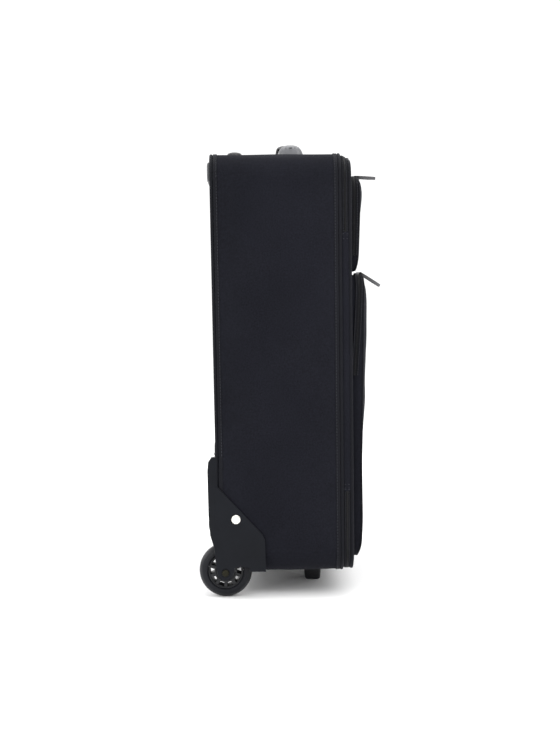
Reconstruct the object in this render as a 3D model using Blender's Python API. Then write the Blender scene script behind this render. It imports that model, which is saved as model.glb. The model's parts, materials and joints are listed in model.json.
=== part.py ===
"""Softside upright suitcase on two wheels, modelled as its separate pieces.

Metres, +Z up. The case stands upright: its front (the lid with the pockets) faces -Y, its back faces +Y.
The origin is on the floor, in the middle of the overall width and depth.
"""
import math

import bmesh
import bpy
import numpy
from mathutils import Matrix, Vector

# Driving dimensions of the case.
WIDTH = 0.340                 # across the fabric, side to side
HEIGHT = 0.4975               # fabric body, bottom to top
FLOOR_GAP = 0.0300            # floor to the bottom of the body
SHELL_DEPTH = 0.150           # back face to the mouth of the main compartment
GUSSET = 0.0122               # strip that holds the main zip, mouth to lid
CORNER = 0.030                # corner radius of the body seen from the front
HALF_DEPTH = 0.11165          # half of the overall depth, wheels to zip pullers

# Wall build-up.
GAP = 0.0003                  # air between touching pieces
FABRIC = 0.0010
BOARD = 0.0024
LINING = 0.0006

# Wheels.
WHEEL_R = 0.0315
WHEEL_W = 0.022
WHEEL_X = 0.1515              # middle of the wheel, from the centre line
AXLE_R = 0.0030
HUB_WINDOWS = 10

# Places that follow from the dimensions.
Z_BASE = FLOOR_GAP
Z_TOP = Z_BASE + HEIGHT
AXLE_Y = HALF_DEPTH - WHEEL_R
Y_BACK = HALF_DEPTH - 0.0199   # the wheels stand out behind the body
Y_MOUTH = Y_BACK - SHELL_DEPTH
Y_LID = Y_MOUTH - GUSSET
Y_CHAIN = (Y_MOUTH + Y_LID) / 2
HALF = WIDTH / 2
LINING_WALL = Y_BACK - 0.0424   # the lining's back wall, in front of the trolley tubes

# Main zip: it runs round from the hinge strip's upper end to its lower end.
HINGE_Z = (0.132, 0.427)
GUSSET_INSET = 0.0015         # the gusset lies this far inside the band

# Trolley handle.
TROLLEY_Y = Y_BACK - 0.0242
TUBE_X = 0.047
STAGES = ((0.0200, 0.0130), (0.0172, 0.0102), (0.0144, 0.0074))   # outside sizes, x by y
TUBE_WALL = 0.0011
TUBE_FOOT = 0.048             # lower end of the outer tubes
GRIP_HALF = 0.066
GRIP_TOP = Z_TOP + 0.0132

# Top carry handle.
CARRY_Y = Y_BACK - 0.0941
CARRY_HALF = 0.090
CARRY_TOP = 0.550

FOOT_Y = Y_BACK - 0.1190

# Pockets on the lid, from bottom to top: height, depth at the side edges, depth towards the middle.
UPPER_POCKET = ((0.3875, 0.0060, 0.0070), (0.3950, 0.0085, 0.0092), (0.4200, 0.0095, 0.0108),
                (0.4550, 0.0110, 0.0152), (0.4830, 0.0118, 0.0194), (0.4940, 0.0115, 0.0176),
                (0.4995, 0.0105, 0.0136))
LOWER_POCKET = ((0.0440, 0.0045, 0.0070), (0.0560, 0.0095, 0.0125), (0.0900, 0.0115, 0.0158),
                (0.1580, 0.0110, 0.0130), (0.2230, 0.0130, 0.0200), (0.2880, 0.0145, 0.0226),
                (0.3530, 0.0158, 0.0242), (0.3720, 0.0162, 0.0215), (0.3815, 0.0158, 0.0178))
POCKET_HALF = 0.157
POCKET_CORNER = 0.024

# Zip sliders: x, y, height, y of the puller's tip, and how far the puller hangs below level, in degrees.
UPPER_SLIDER = (-0.098, Y_LID - 0.0066, 0.0042, Y_LID - 0.0378, 4)
LOWER_SLIDER = (-0.104, Y_LID - 0.0115, 0.0030, -HALF_DEPTH, 33)
MAIN_SLIDER_X = 0.040
ZIP_PROUD = 0.0008

COLOURS = {
    "cloth": ((0.020, 0.021, 0.026), 0.85, 0.0),
    "piping": ((0.016, 0.017, 0.020), 0.60, 0.0),
    "zip": ((0.010, 0.010, 0.012), 0.50, 0.0),
    "board": ((0.030, 0.030, 0.032), 0.70, 0.0),
    "plastic": ((0.022, 0.024, 0.030), 0.45, 0.0),
    "grey_plastic": ((0.210, 0.212, 0.220), 0.32, 0.3),
    "rubber": ((0.020, 0.021, 0.026), 0.45, 0.0),
    "steel": ((0.600, 0.600, 0.610), 0.30, 1.0),
    "rivet": ((0.780, 0.755, 0.690), 0.30, 1.0),
    "puller": ((0.240, 0.240, 0.250), 0.25, 1.0),
    "aluminium": ((0.550, 0.560, 0.580), 0.35, 1.0),
    "lining": ((0.100, 0.104, 0.112), 0.80, 0.0),
    "webbing": ((0.018, 0.018, 0.020), 0.75, 0.0),
}


def clear_scene():
    for obj in list(bpy.data.objects):
        bpy.data.objects.remove(obj)


def material(name):
    if name in bpy.data.materials:
        return bpy.data.materials[name]
    made = bpy.data.materials.new(name)
    made.use_nodes = True
    colour, roughness, metallic = COLOURS[name]
    shader = made.node_tree.nodes["Principled BSDF"]
    shader.inputs["Base Color"].default_value = (*colour, 1)
    shader.inputs["Roughness"].default_value = roughness
    shader.inputs["Metallic"].default_value = metallic
    return made


def finish(name, bm, colour, smooth=40):
    """Turns a bmesh into a named object with its material."""
    bmesh.ops.recalc_face_normals(bm, faces=bm.faces)
    mesh = bpy.data.meshes.new(name)
    bm.to_mesh(mesh)
    bm.free()
    mesh.shade_smooth()
    mesh.set_sharp_from_angle(angle=math.radians(smooth))
    mesh.materials.append(material(colour))
    obj = bpy.data.objects.new(name, mesh)
    bpy.context.scene.collection.objects.link(obj)
    return obj


def cut(obj, *cutters):
    for cutter in cutters:
        modifier = obj.modifiers.new("cut_" + cutter.name, "BOOLEAN")
        modifier.operation = "DIFFERENCE"
        modifier.object = cutter
    return obj


def as_cutter(obj):
    obj.hide_render = True
    obj.display_type = "WIRE"
    return obj


def merge(bm, other):
    """Adds the faces of one bmesh to another, as a separate body."""
    places = {v: bm.verts.new(v.co) for v in other.verts}
    for face in other.faces:
        bm.faces.new([places[v] for v in face.verts])
    other.free()


# Outlines and solids.

def arc(cx, cz, radius, start, end, steps):
    """Points of an arc, angles in degrees."""
    turn = [math.radians(start + (end - start) * i / steps) for i in range(steps + 1)]
    return [(cx + radius * math.cos(a), cz + radius * math.sin(a)) for a in turn]


def rounded_box(x0, x1, z0, z1, radius, steps=5):
    """Outline of a rectangle with round corners, anticlockwise."""
    corners = ((x1, z1, -1, -1, 0), (x0, z1, 1, -1, 90), (x0, z0, 1, 1, 180), (x1, z0, -1, 1, 270))
    points = []
    for x, z, sx, sz, start in corners:
        points += arc(x + sx * radius, z + sz * radius, radius, start, start + 90, steps)
    return points


def slab(outline, low, high, axis="y", bevel=0.0):
    """Outline extruded between two heights along an axis, with bevelled rims."""
    bm = bmesh.new()
    places = {"x": lambda a, b, h: (h, a, b), "y": lambda a, b, h: (a, h, b), "z": lambda a, b, h: (a, b, h)}
    place = places[axis]
    base = bm.faces.new([bm.verts.new(place(a, b, low)) for a, b in outline])
    side = bmesh.ops.extrude_face_region(bm, geom=[base])["geom"]
    moved = [v for v in side if isinstance(v, bmesh.types.BMVert)]
    step = {"y": (0, high - low, 0), "z": (0, 0, high - low), "x": (high - low, 0, 0)}[axis]
    bmesh.ops.translate(bm, verts=moved, vec=step)
    if bevel:
        index = "xyz".index(axis)
        rims = [e for e in bm.edges if abs(e.verts[0].co[index] - e.verts[1].co[index]) < 1e-7]
        bmesh.ops.bevel(bm, geom=rims, offset=bevel, segments=2, profile=0.5, affect="EDGES")
    return bm


def block(low, high, bevel=0.0):
    """A box between two corners, with bevelled edges."""
    bm = bmesh.new()
    bmesh.ops.create_cube(bm, size=1)
    low, high = Vector(low), Vector(high)
    size = high - low
    bmesh.ops.scale(bm, vec=size, verts=bm.verts)
    bmesh.ops.translate(bm, vec=(low + high) / 2, verts=bm.verts)
    if bevel:
        bmesh.ops.bevel(bm, geom=bm.edges[:], offset=bevel, segments=2, profile=0.5, affect="EDGES")
    return bm


def turned(profile, centre, axis="x", steps=32, closed=False):
    """A profile of (radius, height) points spun about an axis. A closed profile makes a ring."""
    bm = bmesh.new()
    turn = {"x": Matrix.Rotation(math.radians(90), 4, "Y"), "y": Matrix.Rotation(math.radians(-90), 4, "X"),
            "z": Matrix.Identity(4)}[axis]
    rings = []
    for radius, height in profile:
        if radius < 1e-7:
            rings.append([bm.verts.new((0, 0, height))])
            continue
        angles = [2 * math.pi * i / steps for i in range(steps)]
        rings.append([bm.verts.new((radius * math.cos(a), radius * math.sin(a), height)) for a in angles])
    pairs = list(zip(rings, rings[1:]))
    if closed:
        pairs.append((rings[-1], rings[0]))
    for low, high in pairs:
        for i in range(steps):
            j = (i + 1) % steps
            face = [low[i % len(low)], low[j % len(low)], high[j % len(high)], high[i % len(high)]]
            face = [v for k, v in enumerate(face) if v not in face[:k]]
            bm.faces.new(face)
    bmesh.ops.transform(bm, matrix=Matrix.Translation(centre) @ turn, verts=bm.verts)
    return bm


def stations(inset=0.0, z_range=None, steps=6):
    """Places round the body's outline as (x, z, normal x, normal z), anticlockwise seen from -Y.

    With z_range they run the long way round, from its upper end on the left side, over the top,
    down the right side and along the bottom, to its lower end on the left side.
    """
    x1, z0, z1, r = HALF - inset, Z_BASE + inset, Z_TOP - inset, CORNER - inset
    corners = ((-x1 + r, z1 - r, 180, 90), (x1 - r, z1 - r, 90, 0),
               (x1 - r, z0 + r, 0, -90), (-x1 + r, z0 + r, -90, -180))
    found = []
    for cx, cz, start, end in corners:
        for i in range(steps + 1):
            a = math.radians(start + (end - start) * i / steps)
            found.append((cx + r * math.cos(a), cz + r * math.sin(a), math.cos(a), math.sin(a)))
    if z_range:
        low, high = z_range
        found = [(-x1, high, -1, 0)] + found + [(-x1, low, -1, 0)]
    return found


def swept(places, profile, closed=True):
    """A profile of (outward offset, y) points carried round a row of stations."""
    bm = bmesh.new()
    rings = []
    for x, z, nx, nz in places:
        rings.append([bm.verts.new((x + nx * o, y, z + nz * o)) for o, y in profile])
    pairs = list(zip(rings, rings[1:]))
    if closed:
        pairs.append((rings[-1], rings[0]))
    count = len(profile)
    for a, b in pairs:
        for i in range(count):
            j = (i + 1) % count
            bm.faces.new([a[i], a[j], b[j], b[i]])
    if not closed:
        bm.faces.new(rings[0])
        bm.faces.new(rings[-1][::-1])
    return bm


def cord_profile(offset, y, radius, sides=8):
    turn = [2 * math.pi * i / sides for i in range(sides)]
    return [(offset + radius * math.cos(a), y + radius * math.sin(a)) for a in turn]


def rectangle(o0, o1, y0, y1):
    return [(o0, y0), (o1, y0), (o1, y1), (o0, y1)]


def tube(width, depth, wall, x, y, z0, z1, steps=4):
    """An oval tube standing along Z, open at both ends."""
    bm = bmesh.new()
    rings = []
    for z, shrink in ((z0, 0), (z1, 0), (z1, wall), (z0, wall)):
        radius = depth / 2 - shrink
        half = (width - depth) / 2
        points = arc(x + half, y, radius, -90, 90, steps) + arc(x - half, y, radius, 90, 270, steps)
        rings.append([bm.verts.new((a, b, z)) for a, b in points])
    for low, high in zip(rings, rings[1:] + rings[:1]):
        for i in range(len(low)):
            j = (i + 1) % len(low)
            bm.faces.new([low[i], low[j], high[j], high[i]])
    return bm


# The body: boards inside, cloth outside.

def wheel_well_cutters():
    """The space that each wheel housing takes from the body's lower back corner."""
    found = []
    for side, sign in (("left", -1), ("right", 1)):
        xs = sorted((sign * 0.1290, sign * (HALF + 0.02)))
        bm = block((xs[0], Y_BACK - 0.0604, 0.0), (xs[1], Y_BACK + 0.05, 0.0745))
        found.append(as_cutter(finish("well_cutter_" + side, bm, "board")))
    return found


def cup_cutter():
    outline = rounded_box(-0.0793, 0.0793, TROLLEY_Y - 0.0168, TROLLEY_Y + 0.0168, 0.0113)
    return as_cutter(finish("cup_cutter", slab(outline, Z_TOP - 0.05, Z_TOP + 0.05, "z"), "board"))


def make_body(wells, cup):
    band_y = (Y_MOUTH + 0.0021, Y_BACK - 0.0045)
    band = finish("fabric_band", swept(stations(), rectangle(-FABRIC, 0, *band_y)), "cloth")
    cut(band, *wells, cup)

    inset = FABRIC + GAP
    board_y = (Y_MOUTH + 0.0030, Y_BACK - 0.0045)
    outer = HALF - inset
    bend = CORNER - inset
    for side, sign in (("left", -1), ("right", 1)):
        xs = sorted((sign * (outer - BOARD), sign * outer))
        low = (xs[0], board_y[0], Z_BASE + CORNER + GAP)
        high = (xs[1], board_y[1], Z_TOP - CORNER - GAP)
        cut(finish(f"side_board_{side}", block(low, high), "board"), *wells)
    for name, corners in (("top_board", 0), ("bottom_board", 2)):
        half_ring = stations(inset)[corners * 7:corners * 7 + 14]
        made = finish(name, swept(half_ring, rectangle(-BOARD, 0, *board_y), closed=False), "board")
        cut(made, *(wells if corners else [cup]))

    flat = rounded_box(-HALF + 0.0033, HALF - 0.0033, Z_BASE + 0.0033, Z_TOP - 0.0033, CORNER - 0.0033, 6)
    cut(finish("back_fabric", slab(flat, Y_BACK - FABRIC, Y_BACK), "cloth"), *wells)
    rim = inset + BOARD + GAP
    board = rounded_box(-HALF + rim, HALF - rim, Z_BASE + rim, Z_TOP - rim, CORNER - rim, 6)
    back = slab(board, Y_BACK - FABRIC - GAP - BOARD, Y_BACK - FABRIC - GAP)
    cut(finish("back_board", back, "board"), *wells)

    cord = cord_profile(-0.0010, Y_BACK - 0.0022, 0.0018)
    over = stations()[:14]
    over = [(-HALF, 0.0755, -1, 0)] + over + [(HALF, 0.0755, 1, 0)]
    finish("back_piping", swept(over, cord, closed=False), "piping")
    under = [(0.1285, Z_BASE, 0, -1), (-0.1285, Z_BASE, 0, -1)]
    finish("back_piping_lower", swept(under, cord, closed=False), "piping")
    finish("mouth_piping", swept(stations(), cord_profile(-0.0006, Y_MOUTH, 0.0017)), "piping")


def make_lining(wells):
    rim = FABRIC + BOARD + 2 * GAP
    outer = HALF - rim
    wall = LINING_WALL
    bm = bmesh.new()
    rings = []
    for y, shrink in ((Y_MOUTH + 0.0030, 0), (wall, 0), (wall - LINING, LINING), (Y_MOUTH + 0.0030, LINING)):
        x1, z0, z1 = outer - shrink, Z_BASE + rim + shrink, Z_TOP - rim - shrink
        points = rounded_box(-x1, x1, z0, z1, CORNER - rim - shrink, 6)
        rings.append([bm.verts.new((a, y, b)) for a, b in points])
    for a, b in ((0, 1), (3, 2), (0, 3)):
        for i in range(len(rings[a])):
            j = (i + 1) % len(rings[a])
            bm.faces.new([rings[a][i], rings[a][j], rings[b][j], rings[b][i]])
    bm.faces.new(rings[1])
    bm.faces.new(rings[2])
    cut(finish("lining", bm, "lining"), *wells)
    panel = rounded_box(-outer, outer, 0.0780, Z_TOP - rim, CORNER - rim, 6)
    finish("trolley_cover_panel", slab(panel, wall + GAP, wall + GAP + 0.0010), "board")


# The main zip and the lid.

def zip_half(mouth_edge, chain_edge):
    """Cross-section of one half of the zip: tape, then the thicker half of the chain."""
    toward = 1 if mouth_edge > chain_edge else -1
    coil = chain_edge + toward * 0.0028
    return [(0, mouth_edge), (-FABRIC, mouth_edge), (-FABRIC, coil), (-0.0018, coil),
            (-0.0018, chain_edge), (0.0006, chain_edge), (0.0006, coil), (0, coil)]


def make_main_zip():
    route = stations(GUSSET_INSET, HINGE_Z)
    body_half = zip_half(Y_MOUTH - 0.0020, Y_CHAIN + GAP / 2)
    lid_half = zip_half(Y_LID + 0.0024, Y_CHAIN - GAP / 2)
    finish("main_zipper_body_half", swept(route, body_half, closed=False), "zip")
    finish("main_zipper_lid_half", swept(route, lid_half, closed=False), "zip")
    x = -HALF + GUSSET_INSET
    low = (x, Y_LID + 0.0024, HINGE_Z[0] + GAP)
    high = (x + FABRIC, Y_MOUTH - 0.0020, HINGE_Z[1] - GAP)
    finish("lid_hinge_strip", block(low, high), "cloth")


def make_lid():
    inset = 0.0042
    front = rounded_box(-HALF + inset, HALF - inset, Z_BASE + inset, Z_TOP - inset, CORNER - inset, 6)
    finish("lid_fabric", slab(front, Y_LID - FABRIC, Y_LID), "cloth")
    finish("lid_board", slab(front, Y_LID + GAP, Y_LID + GAP + BOARD), "board")
    skin = Y_LID + 2 * GAP + BOARD
    finish("lid_lining", slab(front, skin, skin + LINING), "lining")
    cord = cord_profile(-0.0006, Y_LID + 0.0004, 0.0017)
    finish("lid_piping", swept(stations(GUSSET_INSET), cord), "piping")


def pocket(name, shape):
    """A puffed pocket on the lid: a ring of points for each level, from the lid to the crown."""
    heights, edges, crowns = zip(*shape)
    z0, z1 = heights[0], heights[-1]
    middle = (z0 + z1) / 2
    levels = ((1.0, 0.0), (1.0, 0.70), (0.992, 0.90), (0.972, 1.0), (0.90, 1.0), (0.74, 1.0),
              (0.45, 1.0), (0.15, 1.0))
    outline = rounded_box(-POCKET_HALF, POCKET_HALF, z0, z1, POCKET_CORNER, 5)
    base = Y_LID - FABRIC - GAP
    bm = bmesh.new()
    rings = []
    for scale, rise in levels:
        ring = []
        for x, z in outline:
            px, pz = x * scale, middle + (z - middle) * scale
            edge, crown = numpy.interp(pz, heights, edges), numpy.interp(pz, heights, crowns)
            dome = (1 - abs(px / POCKET_HALF) ** 5) * (scale < 0.972)
            ring.append(bm.verts.new((px, base - edge * rise - (crown - edge) * dome, pz)))
        rings.append(ring)
    for a, b in zip(rings, rings[1:]):
        for i in range(len(a)):
            j = (i + 1) % len(a)
            bm.faces.new([a[i], a[j], b[j], b[i]])
    bm.faces.new(rings[0])
    bm.faces.new(rings[-1])
    bmesh.ops.triangulate(bm, faces=[f for f in bm.faces if len(f.verts) == 4])
    return finish(name, bm, "cloth")


def pocket_zip(name, z1, z_end, proud, y_top, y_end):
    """The zip that runs up one side of a pocket, over its top and down the other side."""
    x1, r = POCKET_HALF, POCKET_CORNER
    places = [(-x1, z_end, -1, 0)]
    for cx, start, end in ((-x1 + r, 180, 90), (x1 - r, 90, 0)):
        for i in range(6):
            a = math.radians(start + (end - start) * i / 5)
            places.append((cx + r * math.cos(a), z1 - r + r * math.sin(a), math.cos(a), math.sin(a)))
    places.append((x1, z_end, 1, 0))
    bm = bmesh.new()
    rings = []
    for x, z, nx, nz in places:
        share = (z1 - z) / (z1 - z_end)
        y = y_top + (y_end - y_top) * share
        ring = [(GAP, y), (GAP, y - 0.0060), (GAP + proud, y - 0.0050), (GAP + proud, y - 0.0010)]
        rings.append([bm.verts.new((x + nx * o, d, z + nz * o)) for o, d in ring])
    for a, b in zip(rings, rings[1:]):
        for i in range(4):
            j = (i + 1) % 4
            bm.faces.new([a[i], a[j], b[j], b[i]])
    bm.faces.new(rings[0])
    bm.faces.new(rings[-1])
    finish(name, bm, "zip")


def puller(name, x, y, z, reach, drop, half=0.0045, thick=0.0020):
    """A flat zip puller from its pivot (x, y, z), reaching to -Y and falling by drop degrees."""
    outline = [(-half * 0.62, -0.0015), (half * 0.62, -0.0015), (half * 0.80, reach * 0.25)]
    outline += arc(0, reach - half, half, 0, 180, 6) + [(-half * 0.80, reach * 0.25)]
    bm = slab(outline, -thick / 2, thick / 2, "z", 0.0005)
    turn = Matrix.Translation((x, y, z)) @ Matrix.Rotation(math.radians(drop), 4, "X")
    bmesh.ops.transform(bm, matrix=turn @ Matrix.Rotation(math.pi, 4, "X"), verts=bm.verts)
    return finish(name, bm, "puller")


def make_pockets():
    pocket("upper_pocket", UPPER_POCKET)
    pocket("lower_pocket", LOWER_POCKET)
    tops = UPPER_POCKET[-1][0], LOWER_POCKET[-1][0]
    pocket_zip("upper_pocket_zipper", tops[0], 0.405, ZIP_PROUD, Y_LID - 0.0032, Y_LID - 0.0016)
    pocket_zip("lower_pocket_zipper", tops[1], 0.262, ZIP_PROUD, Y_LID - 0.0080, Y_LID - 0.0016)
    rows = ("upper", tops[0], *UPPER_SLIDER), ("lower", tops[1], *LOWER_SLIDER)
    for name, top, x, y, height, tip, drop in rows:
        base = top + 2 * GAP + ZIP_PROUD
        low, high = (x - 0.0055, y - 0.0032, base), (x + 0.0055, y + 0.0032, base + height)
        finish(f"{name}_slider", block(low, high, 0.0005), "puller")
        pivot = y - 0.0032 - 0.0020
        reach = (pivot - tip) / math.cos(math.radians(drop)) - 0.0006
        puller(f"{name}_puller", x, pivot, base + height - 0.0012, reach, drop)


def make_main_slider():
    top = Z_TOP - GUSSET_INSET + 0.0006 + GAP
    low = (MAIN_SLIDER_X - 0.0070, Y_CHAIN - 0.0045, top)
    high = (MAIN_SLIDER_X + 0.0070, Y_CHAIN + 0.0045, top + 0.0020)
    finish("main_slider", block(low, high, 0.0006), "puller")
    outline = [(0.0, -0.0030), (0.008, -0.0040)] + arc(0.0255, 0, 0.0045, -90, 90, 6)
    outline += [(0.008, 0.0040), (0.0, 0.0030)]
    bm = slab(outline, -0.0010, 0.0010, "z", 0.0005)
    bmesh.ops.translate(bm, verts=bm.verts, vec=(MAIN_SLIDER_X, Y_CHAIN, top + 0.0020 + GAP + 0.0010))
    finish("main_puller", bm, "puller")


# The trolley handle.

def make_trolley(cup):
    flange = rounded_box(-0.0900, 0.0900, TROLLEY_Y - 0.0192, TROLLEY_Y + 0.0192, 0.014)
    body = rounded_box(-0.0790, 0.0790, TROLLEY_Y - 0.0165, TROLLEY_Y + 0.0165, 0.011)
    inner = rounded_box(-0.0770, 0.0770, TROLLEY_Y - 0.0145, TROLLEY_Y + 0.0145, 0.009)
    floor = Z_TOP - 0.024
    levels = ((body, floor - 0.002), (body, Z_TOP + GAP), (flange, Z_TOP + GAP), (flange, Z_TOP + 0.0018),
              (inner, Z_TOP + 0.0026), (inner, floor))
    bm = bmesh.new()
    rings = [[bm.verts.new((a, b, z)) for a, b in points] for points, z in levels]
    for a, b in zip(rings, rings[1:]):
        for i in range(len(a)):
            j = (i + 1) % len(a)
            bm.faces.new([a[i], a[j], b[j], b[i]])
    bm.faces.new(rings[0])
    bm.faces.new(rings[-1])
    pan = finish("trolley_cup", bm, "plastic")
    holes = []
    for side, sign in (("left", -1), ("right", 1)):
        width, depth = STAGES[1]
        half = (width - depth) / 2
        radius = depth / 2 + GAP
        hole = arc(sign * TUBE_X + half, TROLLEY_Y, radius, -90, 90, 4)
        hole += arc(sign * TUBE_X - half, TROLLEY_Y, radius, 90, 270, 4)
        bm = slab(hole, floor - 0.01, floor + 0.01, "z")
        holes.append(as_cutter(finish("tube_hole_" + side, bm, "plastic")))
    cut(pan, *holes)

    top = floor - 0.002 - GAP
    for side, sign in (("left", -1), ("right", 1)):
        at = sign * TUBE_X, TROLLEY_Y
        outer = tube(*STAGES[0], TUBE_WALL, *at, TUBE_FOOT, top)
        finish(f"outer_tube_{side}", outer, "aluminium")
        middle = tube(*STAGES[1], TUBE_WALL, *at, TUBE_FOOT + 0.008, floor + 0.003)
        finish(f"mid_tube_{side}", middle, "aluminium")
        inmost = tube(*STAGES[2], TUBE_WALL, *at, TUBE_FOOT + 0.016, GRIP_TOP - 0.0240 - GAP)
        finish(f"inner_tube_{side}", inmost, "aluminium")
    low = (-0.064, TROLLEY_Y - 0.010, Z_BASE + FABRIC + BOARD + LINING + 5 * GAP)
    high = (0.064, TROLLEY_Y + 0.010, TUBE_FOOT - GAP)
    finish("trolley_base", block(low, high, 0.002), "plastic")

    grip = rounded_box(-GRIP_HALF, GRIP_HALF, TROLLEY_Y - 0.0105, TROLLEY_Y + 0.0105, 0.0100, 5)
    levels = ((1.0, -0.0240), (1.0, -0.0080), (0.985, -0.0040), (0.955, -0.0013), (0.90, 0.0))
    bm = bmesh.new()
    rings = []
    for scale, dz in levels:
        ring = []
        for x, y in grip:
            across = (y - TROLLEY_Y) * (1 - (1 - scale) * 4.2)
            along = math.copysign(abs(x) - (1 - scale) * GRIP_HALF, x)
            ring.append(bm.verts.new((along, TROLLEY_Y + across, GRIP_TOP + dz)))
        rings.append(ring)
    for a, b in zip(rings, rings[1:]):
        for i in range(len(a)):
            j = (i + 1) % len(a)
            bm.faces.new([a[i], a[j], b[j], b[i]])
    bm.faces.new(rings[0])
    bm.faces.new(rings[-1])
    handle = finish("trolley_grip", bm, "plastic")
    finger = slab([(-0.036, GRIP_TOP - 0.030), (0.036, GRIP_TOP - 0.030), (0.034, GRIP_TOP - 0.0150),
                   (0.028, GRIP_TOP - 0.0130), (-0.028, GRIP_TOP - 0.0130), (-0.034, GRIP_TOP - 0.0150)],
                  TROLLEY_Y - 0.03, TROLLEY_Y + 0.03)
    low = (-0.0132, TROLLEY_Y - 0.0052, GRIP_TOP - 0.0075)
    high = (0.0132, TROLLEY_Y + 0.0052, GRIP_TOP + 0.01)
    finger = as_cutter(finish("finger_gap", finger, "plastic"))
    well = as_cutter(finish("button_well", block(low, high), "plastic"))
    cut(handle, finger, well)
    low = (-0.0127, TROLLEY_Y - 0.0047, GRIP_TOP - 0.0040)
    high = (0.0127, TROLLEY_Y + 0.0047, GRIP_TOP + 0.0008)
    finish("release_button", block(low, high, 0.0012), "grey_plastic")


def make_carry_handle():
    for side, sign in (("left", -1), ("right", 1)):
        outline = rounded_box(-0.0160, 0.0160, -0.0130, 0.0130, 0.008, 4)
        levels = ((1.0, 0.0), (1.0, 0.0030), (0.95, 0.0070), (0.84, 0.0110), (0.68, 0.0142), (0.46, 0.0162),
                  (0.25, 0.0170))
        bm = bmesh.new()
        rings = []
        for scale, dz in levels:
            x, z = sign * CARRY_HALF, Z_TOP + GAP + dz
            rings.append([bm.verts.new((x + b * scale, CARRY_Y + a * scale, z))
                          for a, b in outline])
        for a, b in zip(rings, rings[1:]):
            for i in range(len(a)):
                j = (i + 1) % len(a)
                bm.faces.new([a[i], a[j], b[j], b[i]])
        bm.faces.new(rings[0])
        bm.faces.new(rings[-1])
        cap = finish(f"carry_cap_{side}", bm, "grey_plastic")
        xs = sorted((sign * (CARRY_HALF - 0.0200), sign * (CARRY_HALF - 0.0010)))
        slot = block((xs[0], CARRY_Y - 0.0105, Z_TOP + 0.0012), (xs[1], CARRY_Y + 0.0105, Z_TOP + 0.03))
        cut(cap, as_cutter(finish(f"carry_slot_{side}", slot, "plastic")))

    # The bow: a strap with upright ends that slide in the caps, and a thick grip in the middle.
    end = CARRY_HALF - 0.0040
    rise = CARRY_TOP - Z_TOP
    spine = [(-end, 0.0022, 0.0022, 0.0095), (-end + 0.0005, 0.0095, 0.0022, 0.0095),
             (-end + 0.0110, 0.0155, 0.0022, 0.0095), (-0.062, rise - 0.0055, 0.0028, 0.0115)]
    spine += [(-0.054, rise - 0.0050, 0.0045, 0.0135), (-0.030, rise - 0.0050, 0.0050, 0.0145)]
    spine += [(-x, z, t, w) for x, z, t, w in spine[::-1]]
    bm = bmesh.new()
    rings = []
    for k, (x, z, thick, half) in enumerate(spine):
        before, after = spine[max(k - 1, 0)], spine[min(k + 1, len(spine) - 1)]
        along = Vector((after[0] - before[0], 0, after[1] - before[1])).normalized()
        up = Vector((-along.z, 0, along.x))
        oval = [(math.cos(2 * math.pi * i / 12), math.sin(2 * math.pi * i / 12)) for i in range(12)]
        centre = Vector((x, CARRY_Y, Z_TOP + z))
        rings.append([bm.verts.new(centre + Vector((0, half * c, 0)) + up * thick * s) for c, s in oval])
    for a, b in zip(rings, rings[1:]):
        for i in range(12):
            j = (i + 1) % 12
            bm.faces.new([a[i], a[j], b[j], b[i]])
    bm.faces.new(rings[0])
    bm.faces.new(rings[-1])
    finish("carry_grip", bm, "plastic")


# Wheels and housings.

def make_wheel(side, sign):
    x = sign * WHEEL_X
    place = (x, AXLE_Y, WHEEL_R)
    half = WHEEL_W / 2
    turn = [math.radians(d) for d in (90, 60, 35, 15, 0, -15, -35, -60, -90)]
    tread = [(0.0225 + 0.0090 * math.cos(a), half * math.sin(a)) for a in turn]
    tyre = [(0.0210, half * 0.92)] + tread + [(0.0210, -half * 0.92)]
    finish(f"wheel_tyre_{side}", turned(tyre, place, steps=40, closed=True), "rubber")

    rim = [(0.0113, -0.0095), (0.0207, -0.0095), (0.0207, 0.0095), (0.0113, 0.0095)]
    hub = finish(f"wheel_hub_{side}", turned(rim, place, steps=40, closed=True), "plastic")
    windows = bmesh.new()
    for k in range(HUB_WINDOWS):
        middle = 2 * math.pi * k / HUB_WINDOWS
        wide, narrow = math.radians(12.5), math.radians(9.5)
        corner = [(0.0186, -wide), (0.0186, wide), (0.0136, narrow), (0.0136, -narrow)]
        outline = [(AXLE_Y + r * math.cos(middle + a), WHEEL_R + r * math.sin(middle + a))
                   for r, a in corner]
        merge(windows, slab(outline, x - 0.02, x + 0.02, "x"))
    cut(hub, as_cutter(finish(f"hub_windows_{side}", windows, "plastic")))

    # Two bearings and the sleeve that keeps them apart.
    bore, race, sleeve = AXLE_R + GAP, 0.0110, 0.0050
    ring = [(bore, -0.0102), (race, -0.0102), (race, -0.0035), (sleeve, -0.0035),
            (sleeve, 0.0035), (race, 0.0035), (race, 0.0102), (bore, 0.0102)]
    finish(f"wheel_bearings_{side}", turned(ring, place, steps=24, closed=True), "steel")


def make_axle(side, sign):
    out = HALF + 0.0034 + GAP
    nut = -(out - 0.1327)
    profile = [(0, 0.0024), (0.0030, 0.0021), (0.0042, 0.0010), (0.0044, 0.0), (AXLE_R, 0.0),
               (AXLE_R, nut), (0.0048, nut), (0.0048, nut - 0.0026), (0, nut - 0.0026)]
    bm = turned([(r, sign * h) for r, h in profile], (sign * out, AXLE_Y, WHEEL_R), steps=24)
    finish(f"wheel_axle_{side}", bm, "steel")


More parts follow.
